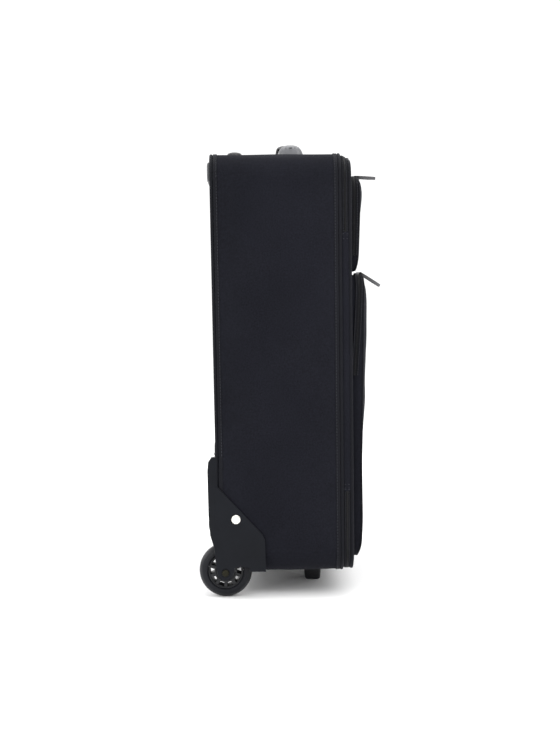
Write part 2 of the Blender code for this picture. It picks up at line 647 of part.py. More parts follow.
def make_housing(side, sign):
    """Side plate with a chamfered corner, walls of the wheel well, and a rounded rib down the back."""
    outer = HALF + 0.0034
    inner = HALF + GAP
    x_in = 0.1330
    back = Y_BACK + GAP
    z_low = Z_BASE + 0.0029
    plate = [(back, 0.0480), (back, 0.1320), (back - 0.0030, 0.1330), (back - 0.0555, 0.0770),
             (back - 0.0586, 0.0700), (back - 0.0596, z_low), (back - 0.0413, z_low),
             (back - 0.0401, 0.0378), (AXLE_Y - 0.0122, 0.0388)]
    plate += arc(AXLE_Y, WHEEL_R, 0.0088, 200, 350, 8) + [(back - 0.0008, 0.0400)]
    xs = sorted((sign * inner, sign * outer))
    made = finish(f"wheel_housing_{side}", slab(plate, xs[0], xs[1], "x"), "plastic")
    add = []
    # Roof, front wall and inner wall of the well, each overlapping the next.
    front = back - 0.0567
    walls = (((x_in, front, 0.0700), (inner + 0.001, Y_BACK - 0.0001, 0.0722)),
             ((x_in, front, z_low + 0.0012), (inner + 0.001, front + 0.0022, 0.0720)),
             ((x_in, front + 0.0001, z_low + 0.0012), (x_in + 0.0024, Y_BACK - 0.0001, 0.0719)))
    for k, (low, high) in enumerate(walls):
        xs = sorted((sign * low[0], sign * high[0]))
        bm = block((xs[0], low[1], low[2]), (xs[1], high[1], high[2]))
        add.append(finish(f"well_wall_{side}_{k}", bm, "plastic"))
    shape = [(AXLE_Y - 0.012, 0.041)] + arc(AXLE_Y, WHEEL_R, 0.0085, 190, 350, 8) + [(AXLE_Y + 0.012, 0.041)]
    xs = sorted((sign * (x_in + 0.0002), sign * (x_in + 0.0022)))
    boss = slab(shape, xs[0], xs[1], "x")
    add.append(finish(f"inner_boss_{side}", boss, "plastic"))
    # Rib: a rounded fin that stands off the back and runs down beside the wheel.
    rib = [(back - 0.003, 0.1680), (back + 0.0040, 0.1675), (back + 0.0078, 0.1620),
           (back + 0.0088, 0.1520), (back + 0.0078, 0.1000), (back + 0.0060, 0.0760),
           (back + 0.0012, 0.0605), (back - 0.0004, 0.0470), (back - 0.0010, 0.0390),
           (back - 0.0060, 0.0400), (back - 0.0060, 0.0600), (back - 0.003, 0.0760)]
    spread = sorted((sign * (HALF - 0.0060), sign * (outer - 0.0002)))
    fin = slab(rib, spread[0], spread[1], "x", 0.0008)
    add.append(finish(f"housing_rib_{side}", fin, "plastic"))
    for k, piece in enumerate(add):
        as_cutter(piece)
        joined = made.modifiers.new(f"join_{k}", "BOOLEAN")
        joined.operation = "UNION"
        joined.object = piece
    # Room for the wheel, the axle and the body's back corner.
    room = turned([(0, -0.0135), (WHEEL_R + 0.0020, -0.0135), (WHEEL_R + 0.0020, 0.0135), (0, 0.0135)],
                  (sign * WHEEL_X, AXLE_Y, WHEEL_R), steps=40)
    room = as_cutter(finish(f"wheel_room_{side}", room, "plastic"))
    bore = turned([(0, -0.05), (AXLE_R + 0.0002, -0.05), (AXLE_R + 0.0002, 0.05), (0, 0.05)],
                  (sign * WHEEL_X, AXLE_Y, WHEEL_R), steps=20)
    bore = as_cutter(finish(f"axle_bore_{side}", bore, "plastic"))
    xs = sorted((0, sign * (HALF + 0.0010)))
    corner = block((xs[0], 0.0, 0.0740), (xs[1], Y_BACK + 0.0008, 0.25))
    cut(made, room, bore, as_cutter(finish(f"corner_room_{side}", corner, "plastic")))


def make_rivets():
    """The rivet head on the side plate of each wheel housing."""
    start = HALF + 0.0034 + GAP
    cap = [(0, 0.0014), (0.0030, 0.0012), (0.0050, 0.0006), (0.0055, 0.0), (0.0, 0.0)]
    for side, sign in (("left", -1), ("right", 1)):
        bm = turned([(r, sign * h) for r, h in cap], (sign * start, Y_BACK - 0.0243, 0.0945), steps=20)
        finish(f"housing_rivet_{side}", bm, "rivet")


def make_back_parts():
    plate = rounded_box(-0.0950, 0.0950, Z_TOP - 0.0270, Z_TOP - 0.0020, 0.010, 4)
    levels = ((1.0, 0.0), (1.0, 0.0010), (0.975, 0.0030), (0.93, 0.0042), (0.80, 0.0050))
    bm = bmesh.new()
    middle = Z_TOP - 0.0145
    rings = []
    for scale, rise in levels:
        rings.append([bm.verts.new((math.copysign(abs(x) - (1 - scale) * 0.06, x), Y_BACK + GAP + rise,
                                    middle + (z - middle) * scale)) for x, z in plate])
    for a, b in zip(rings, rings[1:]):
        for i in range(len(a)):
            j = (i + 1) % len(a)
            bm.faces.new([a[i], a[j], b[j], b[i]])
    bm.faces.new(rings[0])
    bm.faces.new(rings[-1])
    finish("back_anchor_plate", bm, "plastic")
    kick = rounded_box(-0.1270, 0.1270, Z_BASE + 0.004, 0.1790, 0.006, 3)
    finish("kick_plate", slab(kick, Y_BACK + GAP, Y_BACK + GAP + 0.0016, "y", 0.0005), "plastic")


def make_feet():
    for side, sign in (("left", -1), ("right", 1)):
        bm = bmesh.new()
        rings = []
        levels = ((1.0, 1.0, Z_BASE - GAP), (0.86, 0.80, 0.0030), (0.80, 0.74, 0.0008), (0.72, 0.66, 0.0))
        for sx, sy, z in levels:
            outline = rounded_box(-0.0170 * sx, 0.0170 * sx, -0.0120 * sy, 0.0120 * sy, 0.004, 3)
            rings.append([bm.verts.new((sign * 0.055 + a, FOOT_Y + b, z)) for a, b in outline])
        for a, b in zip(rings, rings[1:]):
            for i in range(len(a)):
                j = (i + 1) % len(a)
                bm.faces.new([a[i], a[j], b[j], b[i]])
        bm.faces.new(rings[0])
        bm.faces.new(rings[-1])
        finish(f"foot_{side}", bm, "plastic")


def make_straps():
    """A packing strap that lies on the lining's back wall, and its buckle in front of it."""
    wall = LINING_WALL - LINING - GAP
    face = wall - 0.0014
    finish("packing_strap", block((-0.1600, face, 0.2775), (0.1600, wall, 0.3025)), "webbing")
    buckle = block((-0.0275, face - GAP - 0.0075, 0.2735), (0.0275, face - GAP, 0.3065), 0.0025)
    finish("strap_buckle", buckle, "plastic")


def main():
    clear_scene()
    wells = wheel_well_cutters()
    cup = cup_cutter()
    make_body(wells, cup)
    make_lining(wells)
    make_main_zip()
    make_lid()
    make_pockets()
    make_main_slider()
    make_trolley(cup)
    make_carry_handle()
    for side, sign in (("left", -1), ("right", 1)):
        make_wheel(side, sign)
        make_axle(side, sign)
        make_housing(side, sign)
    make_rivets()
    make_back_parts()
    make_feet()
    make_straps()


main()
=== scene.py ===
"""The looks of the softside upright suitcase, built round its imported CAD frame.

Metres, +Z up, lid towards -Y.
"""

import json
import math

import bmesh
import bpy
import numpy as np
from mathutils import Matrix, Vector, noise


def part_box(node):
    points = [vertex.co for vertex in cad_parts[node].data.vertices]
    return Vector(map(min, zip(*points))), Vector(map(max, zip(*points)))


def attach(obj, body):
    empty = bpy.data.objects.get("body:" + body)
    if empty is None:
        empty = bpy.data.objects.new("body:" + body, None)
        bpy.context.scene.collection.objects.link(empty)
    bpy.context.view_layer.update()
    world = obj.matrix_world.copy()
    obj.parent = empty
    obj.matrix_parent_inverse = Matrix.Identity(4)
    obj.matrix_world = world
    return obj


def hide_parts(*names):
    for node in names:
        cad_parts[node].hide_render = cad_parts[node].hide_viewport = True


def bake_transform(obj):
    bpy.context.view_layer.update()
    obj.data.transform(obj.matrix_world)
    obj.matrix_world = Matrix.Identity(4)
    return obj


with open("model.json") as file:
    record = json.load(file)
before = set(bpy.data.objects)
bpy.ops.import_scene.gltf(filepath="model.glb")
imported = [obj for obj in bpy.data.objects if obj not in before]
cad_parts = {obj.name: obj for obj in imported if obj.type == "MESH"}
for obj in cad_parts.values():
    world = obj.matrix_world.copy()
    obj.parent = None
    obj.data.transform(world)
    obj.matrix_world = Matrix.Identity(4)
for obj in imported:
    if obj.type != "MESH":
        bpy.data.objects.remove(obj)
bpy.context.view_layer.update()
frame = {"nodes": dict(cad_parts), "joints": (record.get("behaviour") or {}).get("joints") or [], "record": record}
NODES = frame["nodes"]
RECORD = frame["record"]
BODY_OF = {node: body for body, nodes in RECORD["behaviour"]["bodies"].items() for node in nodes}

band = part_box("fabric_band")
HALF, Z0, Z1 = band[1].x, band[0].z, band[1].z
Y_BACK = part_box("back_fabric")[1].y
Y_MOUTH = sum(p.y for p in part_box("mouth_piping")) / 2
Y_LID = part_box("lid_fabric")[1].y
Y_CHAIN = (Y_MOUTH + Y_LID) / 2
CORNER = 0.030
GUSSET_INSET = 0.0015
HINGE_Z = tuple(p.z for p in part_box("lid_hinge_strip"))


# Materials.

def tree_of(name, colour, roughness, metallic=0.0):
    """A new material; returns it with its node tree's handles."""
    mat = bpy.data.materials.new(name)
    mat.use_nodes = True
    nodes, links = mat.node_tree.nodes, mat.node_tree.links
    shader = nodes["Principled BSDF"]
    shader.inputs["Base Color"].default_value = (*colour, 1)
    shader.inputs["Roughness"].default_value = roughness
    shader.inputs["Metallic"].default_value = metallic
    coords = nodes.new("ShaderNodeTexCoord")
    return mat, nodes, links, shader, coords.outputs["Object"]


def noise_of(nodes, links, where, scale, detail=3.0, rough=0.55):
    tex = nodes.new("ShaderNodeTexNoise")
    tex.inputs["Scale"].default_value = scale
    tex.inputs["Detail"].default_value = detail
    tex.inputs["Roughness"].default_value = rough
    links.new(where, tex.inputs["Vector"])
    return tex.outputs["Fac"]


def ramp_of(nodes, links, value, low, high, a, b):
    ramp = nodes.new("ShaderNodeValToRGB")
    ramp.color_ramp.elements[0].position, ramp.color_ramp.elements[1].position = a, b
    ramp.color_ramp.elements[0].color = (*low, 1)
    ramp.color_ramp.elements[1].color = (*high, 1)
    links.new(value, ramp.inputs["Fac"])
    return ramp.outputs["Color"]


def math_of(nodes, links, kind, a, b):
    node = nodes.new("ShaderNodeMath")
    node.operation = kind
    for socket, value in zip(node.inputs, (a, b)):
        if isinstance(value, (int, float)):
            socket.default_value = value
        else:
            links.new(value, socket)
    return node.outputs[0]


def wave_of(nodes, links, where, axis, period, phase=0.0):
    tex = nodes.new("ShaderNodeTexWave")
    tex.bands_direction = axis
    tex.inputs["Scale"].default_value = 2 * math.pi / (20 * period)
    tex.inputs["Phase Offset"].default_value = phase
    links.new(where, tex.inputs["Vector"])
    return tex.outputs["Fac"]


def bump_into(nodes, links, shader, height, strength, distance, before=None):
    bump = nodes.new("ShaderNodeBump")
    bump.inputs["Strength"].default_value = strength
    bump.inputs["Distance"].default_value = distance
    links.new(height, bump.inputs["Height"])
    if before:
        links.new(before, bump.inputs["Normal"])
    links.new(bump.outputs["Normal"], shader.inputs["Normal"])
    return bump.outputs["Normal"]


def cloth_material(name, colour, pitch=0.0011, spread=0.45, sheen=0.02, roughness=0.88, weave=0.35):
    """Woven cloth: threads both ways on every face, flecks of lighter yarn, and slow changes of shade."""
    mat, nodes, links, shader, where = tree_of(name, colour, roughness)
    dark = [c * (1 - spread) for c in colour]
    light = [c * (1 + spread) for c in colour]
    slow = noise_of(nodes, links, where, 9.0, 4.0)
    fleck = noise_of(nodes, links, where, 520.0, 3.0, 0.8)
    mixed = math_of(nodes, links, "ADD", math_of(nodes, links, "MULTIPLY", slow, 0.30),
                    math_of(nodes, links, "MULTIPLY", fleck, 0.70))
    links.new(ramp_of(nodes, links, mixed, dark, light, 0.32, 0.68), shader.inputs["Base Color"])
    waves = [wave_of(nodes, links, where, axis, pitch) for axis in "XYZ"]
    threads = math_of(nodes, links, "ADD", math_of(nodes, links, "ADD", waves[0], waves[1]), waves[2])
    rough = math_of(nodes, links, "MULTIPLY_ADD", threads, 0.06)
    rough.node.inputs[2].default_value = roughness - 0.09
    links.new(rough, shader.inputs["Roughness"])
    soft = bump_into(nodes, links, shader, noise_of(nodes, links, where, 38.0, 3.0), 0.18, 0.002)
    bump_into(nodes, links, shader, threads, weave, 0.00022, soft)
    shader.inputs["Sheen Weight"].default_value = sheen
    shader.inputs["Sheen Roughness"].default_value = 0.45
    shader.inputs["Sheen Tint"].default_value = (0.75, 0.78, 0.92, 1)
    shader.inputs["Specular IOR Level"].default_value = 0.08
    return mat


def plastic_material(name, colour, roughness, grain=900.0, depth=0.00006, coat=0.0, shine=0.3):
    """Moulded plastic: fine grain, and faint changes of shade and gloss."""
    mat, nodes, links, shader, where = tree_of(name, colour, roughness)
    slow = noise_of(nodes, links, where, 24.0, 4.0)
    links.new(ramp_of(nodes, links, slow, [c * 0.85 for c in colour], [c * 1.18 for c in colour], 0.3, 0.7),
              shader.inputs["Base Color"])
    rough = math_of(nodes, links, "MULTIPLY_ADD", slow, 0.16)
    rough.node.inputs[2].default_value = roughness - 0.08
    links.new(rough, shader.inputs["Roughness"])
    bump_into(nodes, links, shader, noise_of(nodes, links, where, grain, 2.0), 0.5, depth)
    shader.inputs["Coat Weight"].default_value = coat
    shader.inputs["Specular IOR Level"].default_value = shine
    return mat


def metal_material(name, colour, roughness, brushed=False):
    """Plated or brushed metal with fine scratches."""
    mat, nodes, links, shader, where = tree_of(name, colour, roughness, 1.0)
    if brushed:
        stretch = nodes.new("ShaderNodeMapping")
        stretch.inputs["Scale"].default_value = (900, 900, 12)
        links.new(where, stretch.inputs["Vector"])
        where = stretch.outputs["Vector"]
    grain = noise_of(nodes, links, where, 1.0 if brushed else 350.0, 3.0)
    rough = math_of(nodes, links, "MULTIPLY_ADD", grain, 0.18)
    rough.node.inputs[2].default_value = roughness - 0.09
    links.new(rough, shader.inputs["Roughness"])
    links.new(ramp_of(nodes, links, grain, [c * 0.9 for c in colour], colour, 0.3, 0.7),
              shader.inputs["Base Color"])
    bump_into(nodes, links, shader, grain, 0.2, 0.00004)
    return mat


MATERIALS = {
    "cloth": cloth_material("cloth_look", (0.0066, 0.0069, 0.0102)),
    "cloth_gusset": cloth_material("gusset_cloth_look", (0.0072, 0.0075, 0.0108), pitch=0.0009),
    "piping": cloth_material("piping_look", (0.0060, 0.0063, 0.0085),
                             pitch=0.0006, sheen=0.04, roughness=0.62),
    "tape": cloth_material("zip_tape_look", (0.0048, 0.0050, 0.0064),
                           pitch=0.0005, sheen=0.03, roughness=0.7),
    "thread": cloth_material("thread_look", (0.0260, 0.0270, 0.0330),
                             pitch=0.0003, sheen=0.05, roughness=0.6),
    "teeth": plastic_material("zip_teeth_look", (0.0080, 0.0082, 0.0098), 0.40),
    "lining": cloth_material("lining_look", (0.0600, 0.0630, 0.0700),
                             pitch=0.0005, spread=0.12, roughness=0.7),
    "mesh": cloth_material("inner_mesh_look", (0.0200, 0.0205, 0.0230), pitch=0.0022, weave=0.9),
    "board": plastic_material("board_look", (0.030, 0.030, 0.032), 0.7),
    "webbing": cloth_material("webbing_look", (0.0100, 0.0102, 0.0120), pitch=0.0016, weave=0.8),
    "housing": plastic_material("housing_look", (0.0060, 0.0067, 0.0090), 0.42, shine=0.09),
    "plastic": plastic_material("moulded_plastic_look", (0.0085, 0.0090, 0.0112), 0.46),
    "gloss": plastic_material("gloss_plastic_look", (0.0060, 0.0063, 0.0080), 0.26, coat=0.2),
    "grey_plastic": plastic_material("grey_plastic_look", (0.1250, 0.1270, 0.1350), 0.30, coat=0.1),
    "hub": plastic_material("hub_look", (0.0080, 0.0084, 0.0100), 0.40),
    "tyre": plastic_material("tyre_look", (0.0075, 0.0080, 0.0102), 0.40, grain=600.0, shine=0.14),
    "rivet": metal_material("rivet_look", (0.930, 0.900, 0.830), 0.28),
    "puller": metal_material("puller_look", (0.110, 0.110, 0.115), 0.30),
    "axle": metal_material("axle_look", (0.022, 0.021, 0.015), 0.45),
    "aluminium": metal_material("tube_look", (0.560, 0.570, 0.590), 0.30, brushed=True),
}


# Geometry helpers.

# The lid's frame is soft: its top edge sinks forwards over the zip.
DROOP = 0.0065
DROOPING = ("lid_cloth", "lid_cord", "lid_stitches", "case_zip", "lid_zip", "main_slider", "main_puller")


def drooped(mesh):
    for vertex in mesh.vertices:
        _, y, z = vertex.co
        forward = min(1.0, max(0.0, (Y_MOUTH - y) / (Y_MOUTH - Y_LID)))
        high = max(0.0, (z - Z1 + 0.05) / 0.05)
        vertex.co.z = z - DROOP * forward ** 2 * high ** 2


# The back cloth stands a little further out towards the top, over the trolley's frame.
TAPER = 0.0050
TAPERED = ("case_cloth", "back_cloth", "back_cord", "back_binding", "back_anchor_plate")


def tapered(mesh):
    for vertex in mesh.vertices:
        _, y, z = vertex.co
        back = min(1.0, max(0.0, (y - Y_MOUTH - 0.02) / (Y_BACK - Y_MOUTH - 0.02)))
        vertex.co.y = y + TAPER * back * max(0.0, (z - 0.17) / (Z1 - 0.17))


def new_piece(name, mesh, look, body, replaces=(), angle=40):
    """An object for a finished mesh, riding on its body."""
    mesh.name = name
    if name.startswith(DROOPING):
        drooped(mesh)
    if name.startswith(TAPERED):
        tapered(mesh)
    mesh.shade_smooth()
    mesh.set_sharp_from_angle(angle=math.radians(angle))
    mesh.materials.clear()
    mesh.materials.append(MATERIALS[look])
    obj = bpy.data.objects.new(name, mesh)
    bpy.context.scene.collection.objects.link(obj)
    if body:
        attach(obj, body)
    if replaces:
        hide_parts(*replaces)
    return obj


def mesh_of(bm, tidy=True):
    if tidy:
        bmesh.ops.recalc_face_normals(bm, faces=bm.faces)
    mesh = bpy.data.meshes.new("made")
    bm.to_mesh(mesh)
    bm.free()
    return mesh


def lofted(rings, around=True, ends=False, wrap=False):
    """A mesh through rings of points: closed round each ring (around), from last to first (wrap),
    with end faces (ends)."""
    bm = bmesh.new()
    rows = [[bm.verts.new(p) for p in ring] for ring in rings]
    pairs = list(zip(rows, rows[1:])) + ([(rows[-1], rows[0])] if wrap else [])
    count = len(rows[0])
    for a, b in pairs:
        for i in range(count if around else count - 1):
            j = (i + 1) % count
            bm.faces.new([a[i], a[j], b[j], b[i]])
    if ends:
        bm.faces.new(rows[0])
        bm.faces.new(rows[-1][::-1])
    return mesh_of(bm)


def outline_places(x1, z0, z1, radius, step=0.006, bend=10, start_left=None):
    """Places round a rounded rectangle as (x, z, nx, nz), anticlockwise from the upper left corner
    seen from behind.

    start_left=(upper, lower) opens the loop on the left side between those two heights.
    """
    found = []
    corners = ((-x1 + radius, z1 - radius, 180), (x1 - radius, z1 - radius, 90),
               (x1 - radius, z0 + radius, 0), (-x1 + radius, z0 + radius, -90))
    for k, (cx, cz, start) in enumerate(corners):
        for i in range(bend + 1):
            a = math.radians(start - 90 * i / bend)
            found.append((cx + radius * math.cos(a), cz + radius * math.sin(a), math.cos(a), math.sin(a)))
        nx, nz = found[-1][2:]
        here = Vector(found[-1][:2])
        following = corners[(k + 1) % 4]
        a = math.radians(following[2])
        there = Vector((following[0] + radius * math.cos(a), following[1] + radius * math.sin(a)))
        if k == 3 and start_left:
            there = Vector((there.x, start_left[1]))
        parts = max(1, round((there - here).length / step))
        for i in range(1, parts + (1 if k == 3 and start_left else 0)):
            at = here.lerp(there, i / parts)
            found.append((at.x, at.y, nx, nz))
    if start_left:
        parts = max(1, round((found[0][1] - start_left[0]) / step))
        first = [(-x1, start_left[0] + (found[0][1] - start_left[0]) * i / parts, -1.0, 0.0)
                 for i in range(parts)]
        found = first + found
    return found


def body_places(inset=0.0, **options):
    return outline_places(HALF - inset, Z0 + inset, Z1 - inset, CORNER - inset, **options)


def carried(places, profile, closed=True):
    """A profile of (outward offset, y) carried round the places.

    The profile may be a function of the place.
    """
    rings = []
    for x, z, nx, nz in places:
        points = profile(x, z, nx, nz) if callable(profile) else profile
        rings.append([(x + nx * o, y, z + nz * o) for o, y in points])
    return lofted(rings, ends=not closed, wrap=closed)


def cord_ring(offset, y, radius, sides=12):
    turn = [2 * math.pi * i / sides for i in range(sides)]
    return [(offset + radius * math.cos(a), y + radius * math.sin(a)) for a in turn]


def joined(meshes):
    """Several meshes as one."""
    bm = bmesh.new()
    for mesh in meshes:
        bm.from_mesh(mesh)
        bpy.data.meshes.remove(mesh)
    return mesh_of(bm, tidy=False)


def beads(path, shape):
    """Copies of a small box-like shape set along a path of (point, along, out).

    shape is (length, width, height, taper): the box's top is narrower by taper.
    """
    length, width, height, taper = shape
    points, faces = [], []
    box = [(sx, sy, sz) for sz in (0, 1) for sx, sy in ((-1, -1), (1, -1), (1, 1), (-1, 1))]
    quads = ((0, 3, 2, 1), (4, 5, 6, 7), (0, 1, 5, 4), (1, 2, 6, 5), (2, 3, 7, 6), (3, 0, 4, 7))
    for at, along, out in path:
        across = along.cross(out)
        base = len(points)
        for sx, sy, sz in box:
            shrink = 1 - taper * sz
            points.append(at + along * (sx * length / 2 * shrink) + across * (sy * width / 2 * shrink)
                          + out * (sz * height))
        faces += [[base + i for i in quad] for quad in quads]
    mesh = bpy.data.meshes.new("beads")
    mesh.from_pydata([tuple(p) for p in points], [], faces)
    bm = bmesh.new()
    bm.from_mesh(mesh)
    bpy.data.meshes.remove(mesh)
    return mesh_of(bm)


def evenly(points, pitch, closed=False):
    """Points at an even pitch along a row of (point, out), as (point, along, out)."""
    rows = list(points) + ([points[0]] if closed else [])
    at = np.array([p for p, _ in rows], float)
    out = np.array([o for _, o in rows], float)
    lengths = np.r_[0, np.cumsum(np.linalg.norm(np.diff(at, axis=0), axis=1))]
    count = int(lengths[-1] / pitch)
    where = (np.arange(count) + 0.5) * lengths[-1] / count
    place = np.stack([np.interp(where, lengths, at[:, k]) for k in range(3)], 1)
    facing = np.stack([np.interp(where, lengths, out[:, k]) for k in range(3)], 1)
    ahead = np.stack([np.interp(where + pitch * 0.4, lengths, at[:, k]) for k in range(3)], 1)
    behind = np.stack([np.interp(where - pitch * 0.4, lengths, at[:, k]) for k in range(3)], 1)
    found = []
    for p, o, a, b in zip(place, facing, ahead, behind):
        along = Vector(a - b).normalized()
        o = Vector(o)
        found.append((Vector(p), along, (o - along * o.dot(along)).normalized()))
    return found


def stitch_row(points, pitch=0.0036, closed=False):
    """A row of stitches: short raised dashes with gaps between them."""
    return beads(evenly(points, pitch, closed), (pitch * 0.68, 0.0007, 0.00045, 0.45))


def evaluated(obj):
    """The object's mesh with its modifiers applied, and the object removed."""
    graph = bpy.context.evaluated_depsgraph_get()
    mesh = bpy.data.meshes.new_from_object(obj.evaluated_get(graph))
    bpy.data.objects.remove(obj)
    return mesh


def temporary(mesh, name="temporary"):
    obj = bpy.data.objects.new(name, mesh)
    bpy.context.scene.collection.objects.link(obj)
    return obj


def box_mesh(low, high):
    bm = bmesh.new()
    bmesh.ops.create_cube(bm, size=1)
    low, high = Vector(low), Vector(high)
    bmesh.ops.scale(bm, vec=high - low, verts=bm.verts)
    bmesh.ops.translate(bm, vec=(low + high) / 2, verts=bm.verts)
    return mesh_of(bm)


def carved(mesh, cutters):
    """The mesh with each cutter's space taken from it."""
    obj = temporary(mesh)
    tools = [temporary(cutter, "tool") for cutter in cutters]
    for tool in tools:
        modifier = obj.modifiers.new("carve", "BOOLEAN")
        modifier.operation = "DIFFERENCE"
        modifier.object = tool
    made = evaluated(obj)
    for tool in tools:
        bpy.data.objects.remove(tool)
    return made


def refined(node, look, bevel=0.0, angle=32):
    """A CAD node's own shape, welded and cleaned, with soft edges."""
    bm = bmesh.new()
    bm.from_mesh(NODES[node].data)
    bmesh.ops.remove_doubles(bm, verts=bm.verts, dist=2e-6)
    bmesh.ops.dissolve_limit(bm, angle_limit=math.radians(1.0), verts=bm.verts, edges=bm.edges)
    obj = temporary(mesh_of(bm, tidy=False))
    if bevel:
        modifier = obj.modifiers.new("edges", "BEVEL")
        modifier.width = bevel
        modifier.segments = 3
        modifier.limit_method = "ANGLE"
        modifier.angle_limit = math.radians(angle)
        modifier.harden_normals = False
    mesh = evaluated(obj)
    return new_piece(node + "_made", mesh, look, BODY_OF[node], (node,), angle=48)


# The body's cloth, its piping and stitching.

def wells():
    """The spaces that the two wheel housings take from the cloth."""
    found = []
    for side in ("left", "right"):
        low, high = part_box("wheel_housing_" + side)
        edge = 0.1290
        xs = (-HALF - 0.02, -edge) if high.x < 0 else (edge, HALF + 0.02)
        found.append(box_mesh((xs[0], low.y + 0.0045, Z0 - 0.02), (xs[1], Y_BACK + 0.03, 0.0735)))
    return found


def cup_space():
    low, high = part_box("trolley_cup")
    rows = outline_places(high.x - 0.0107, low.y + 0.0024, high.y - 0.0024, 0.0113, step=0.02, bend=8)
    return lofted([[(x, y, z) for x, y, _, _ in rows] for z in (Z1 - 0.03, Z1 + 0.03)], ends=True)


def soften(x, z, seed, scale, depth):
    """A slow unevenness, the same for the same place."""
    return depth * noise.noise(Vector((x * scale, z * scale, seed)))


def case_cloth():
    """The side, top and bottom panels: one band of cloth over stiff boards,
    a little full between its seams."""
    front, back = Y_MOUTH + 0.0019, Y_BACK - 0.0043
    steps = 22

    def profile(x, z, nx, nz):
        points = []
        for i in range(steps + 1):
            y = front + (back - front) * i / steps
            share = math.sin(math.pi * i / steps)
            full = 0.0009 * share ** 0.6 * (1 - abs(nx * nz) * 1.2)
            sag = -0.0012 * share * max(0.0, nz) ** 4 if z > Z1 - 0.004 else 0.0
            low_sag = 0.0008 * share * max(0.0, -nz) ** 4
            along = z if abs(nx) > 0.5 else x
            uneven = soften(along, y, 3.0 if nx < 0 else 7.0, 16.0, 0.0008) * share
            points.append((full + max(sag, -0.0007) * 0.5 + low_sag + uneven + 0.0001, y))
        return points + [(-0.0009, back), (-0.0009, front)]

    mesh = carried(body_places(step=0.009), profile)
    mesh = carved(mesh, wells() + [cup_space()])
    new_piece("case_cloth", mesh, "cloth", "case", ("fabric_band",))


def crowned_panel(places_of, y, outward, crown, seed, levels=12):
    """A flat cloth panel with a slight fullness: rings from its edge to its middle.

    outward is the sign of its face in y.
    """
    rings = []
    for k in range(levels + 1):
        share = k / levels
        ring = []
        for x, z in places_of(1 - 0.985 * share):
            rise = crown * (1 - (1 - share) ** 3) + soften(x, z, seed, 12.0, crown * 0.55) * min(1, share * 5)
            ring.append((x, y + outward * max(0.0, rise), z))
        rings.append(ring)
    rim = [(x, y - outward * 0.0009, z) for x, _, z in rings[0]]
    return lofted([rim] + rings, ends=True)


def panel_places(inset, step=0.012):
    base = body_places(inset, step=step)
    middle = (Z0 + Z1) / 2

    def places(scale):
        return [(x * scale, middle + (z - middle) * scale) for x, z, _, _ in base]
    return places


def back_cloth():
    mesh = crowned_panel(panel_places(0.0033), Y_BACK - 0.0003, 1, 0.0004, 2.0)
    mesh = carved(mesh, wells())
    new_piece("back_cloth", mesh, "cloth", "case", ("back_fabric",))


def seam_line(name, y, lift, inset, look, body, slot, **options):
    """A row of stitches round the body at one depth."""
    places = body_places(inset, step=0.004, **options)
    rows = [((x + nx * lift, y, z + nz * lift), (nx, 0, nz)) for x, z, nx, nz in places]
    mesh = stitch_row(rows, closed="start_left" not in options)
    return new_piece(name, mesh, look, body)


def flat_tape(name, y0, y1, lift, thick, inset, body, slot="piping", look="piping", **options):
    """A flat strip sewn round the body."""
    places = body_places(inset, bend=12, **options)
    edge = min(0.0004, (y1 - y0) / 4)
    profile = [(lift, y0), (lift + thick, y0 + edge), (lift + thick, y1 - edge), (lift, y1)]
    mesh = carried(places, profile, "start_left" not in options)
    return new_piece(name, mesh, look, body)


def body_trim():
    back_y = Y_BACK - 0.0022
    # The back cord stops at the wheel housings, so it is cut there.
    cord = carried(body_places(bend=12), cord_ring(-0.0008, back_y, 0.0019))
    cord = carved(cord, wells())
    new_piece("back_cord", cord, "piping", "case", ("back_piping", "back_piping_lower"))
    tape = carried(body_places(bend=12), [(0.0003, Y_BACK - 0.0092), (0.0011, Y_BACK - 0.0088),
                                          (0.0012, Y_BACK - 0.0046), (0.0003, Y_BACK - 0.0042)])
    tape = carved(tape, wells())
    new_piece("back_binding", tape, "piping", "case")
    rows = [((x + nx * 0.0012, Y_BACK - 0.0080, z + nz * 0.0012), (nx, 0, nz))
            for x, z, nx, nz in body_places(step=0.004)
            if z > 0.168 or abs(x) < 0.128]
    breaks = [i for i in range(1, len(rows)) if (Vector(rows[i][0]) - Vector(rows[i - 1][0])).length > 0.02]
    pieces, start = [], 0
    for stop in breaks + [len(rows)]:
        if stop - start > 3:
            pieces.append(stitch_row(rows[start:stop]))
        start = stop
    new_piece("back_binding_stitches", joined(pieces), "thread", "case")
    mouth = carried(body_places(bend=12), cord_ring(-0.0004, Y_MOUTH, 0.0019))
    new_piece("mouth_cord", mouth, "piping", "case", ("mouth_piping",))
    flat_tape("mouth_binding", Y_MOUTH + 0.0022, Y_MOUTH + 0.0072, 0.0002, 0.0009, 0.0, "case")
    seam_line("mouth_stitches", Y_MOUTH + 0.0058, 0.0010, 0.0, "thread", "case", "piping")


# The main zip, and the strip of cloth that hinges the lid.

def zip_route(inset, step=0.005):
    return body_places(inset, step=step, bend=12, start_left=(HINGE_Z[1], HINGE_Z[0]))


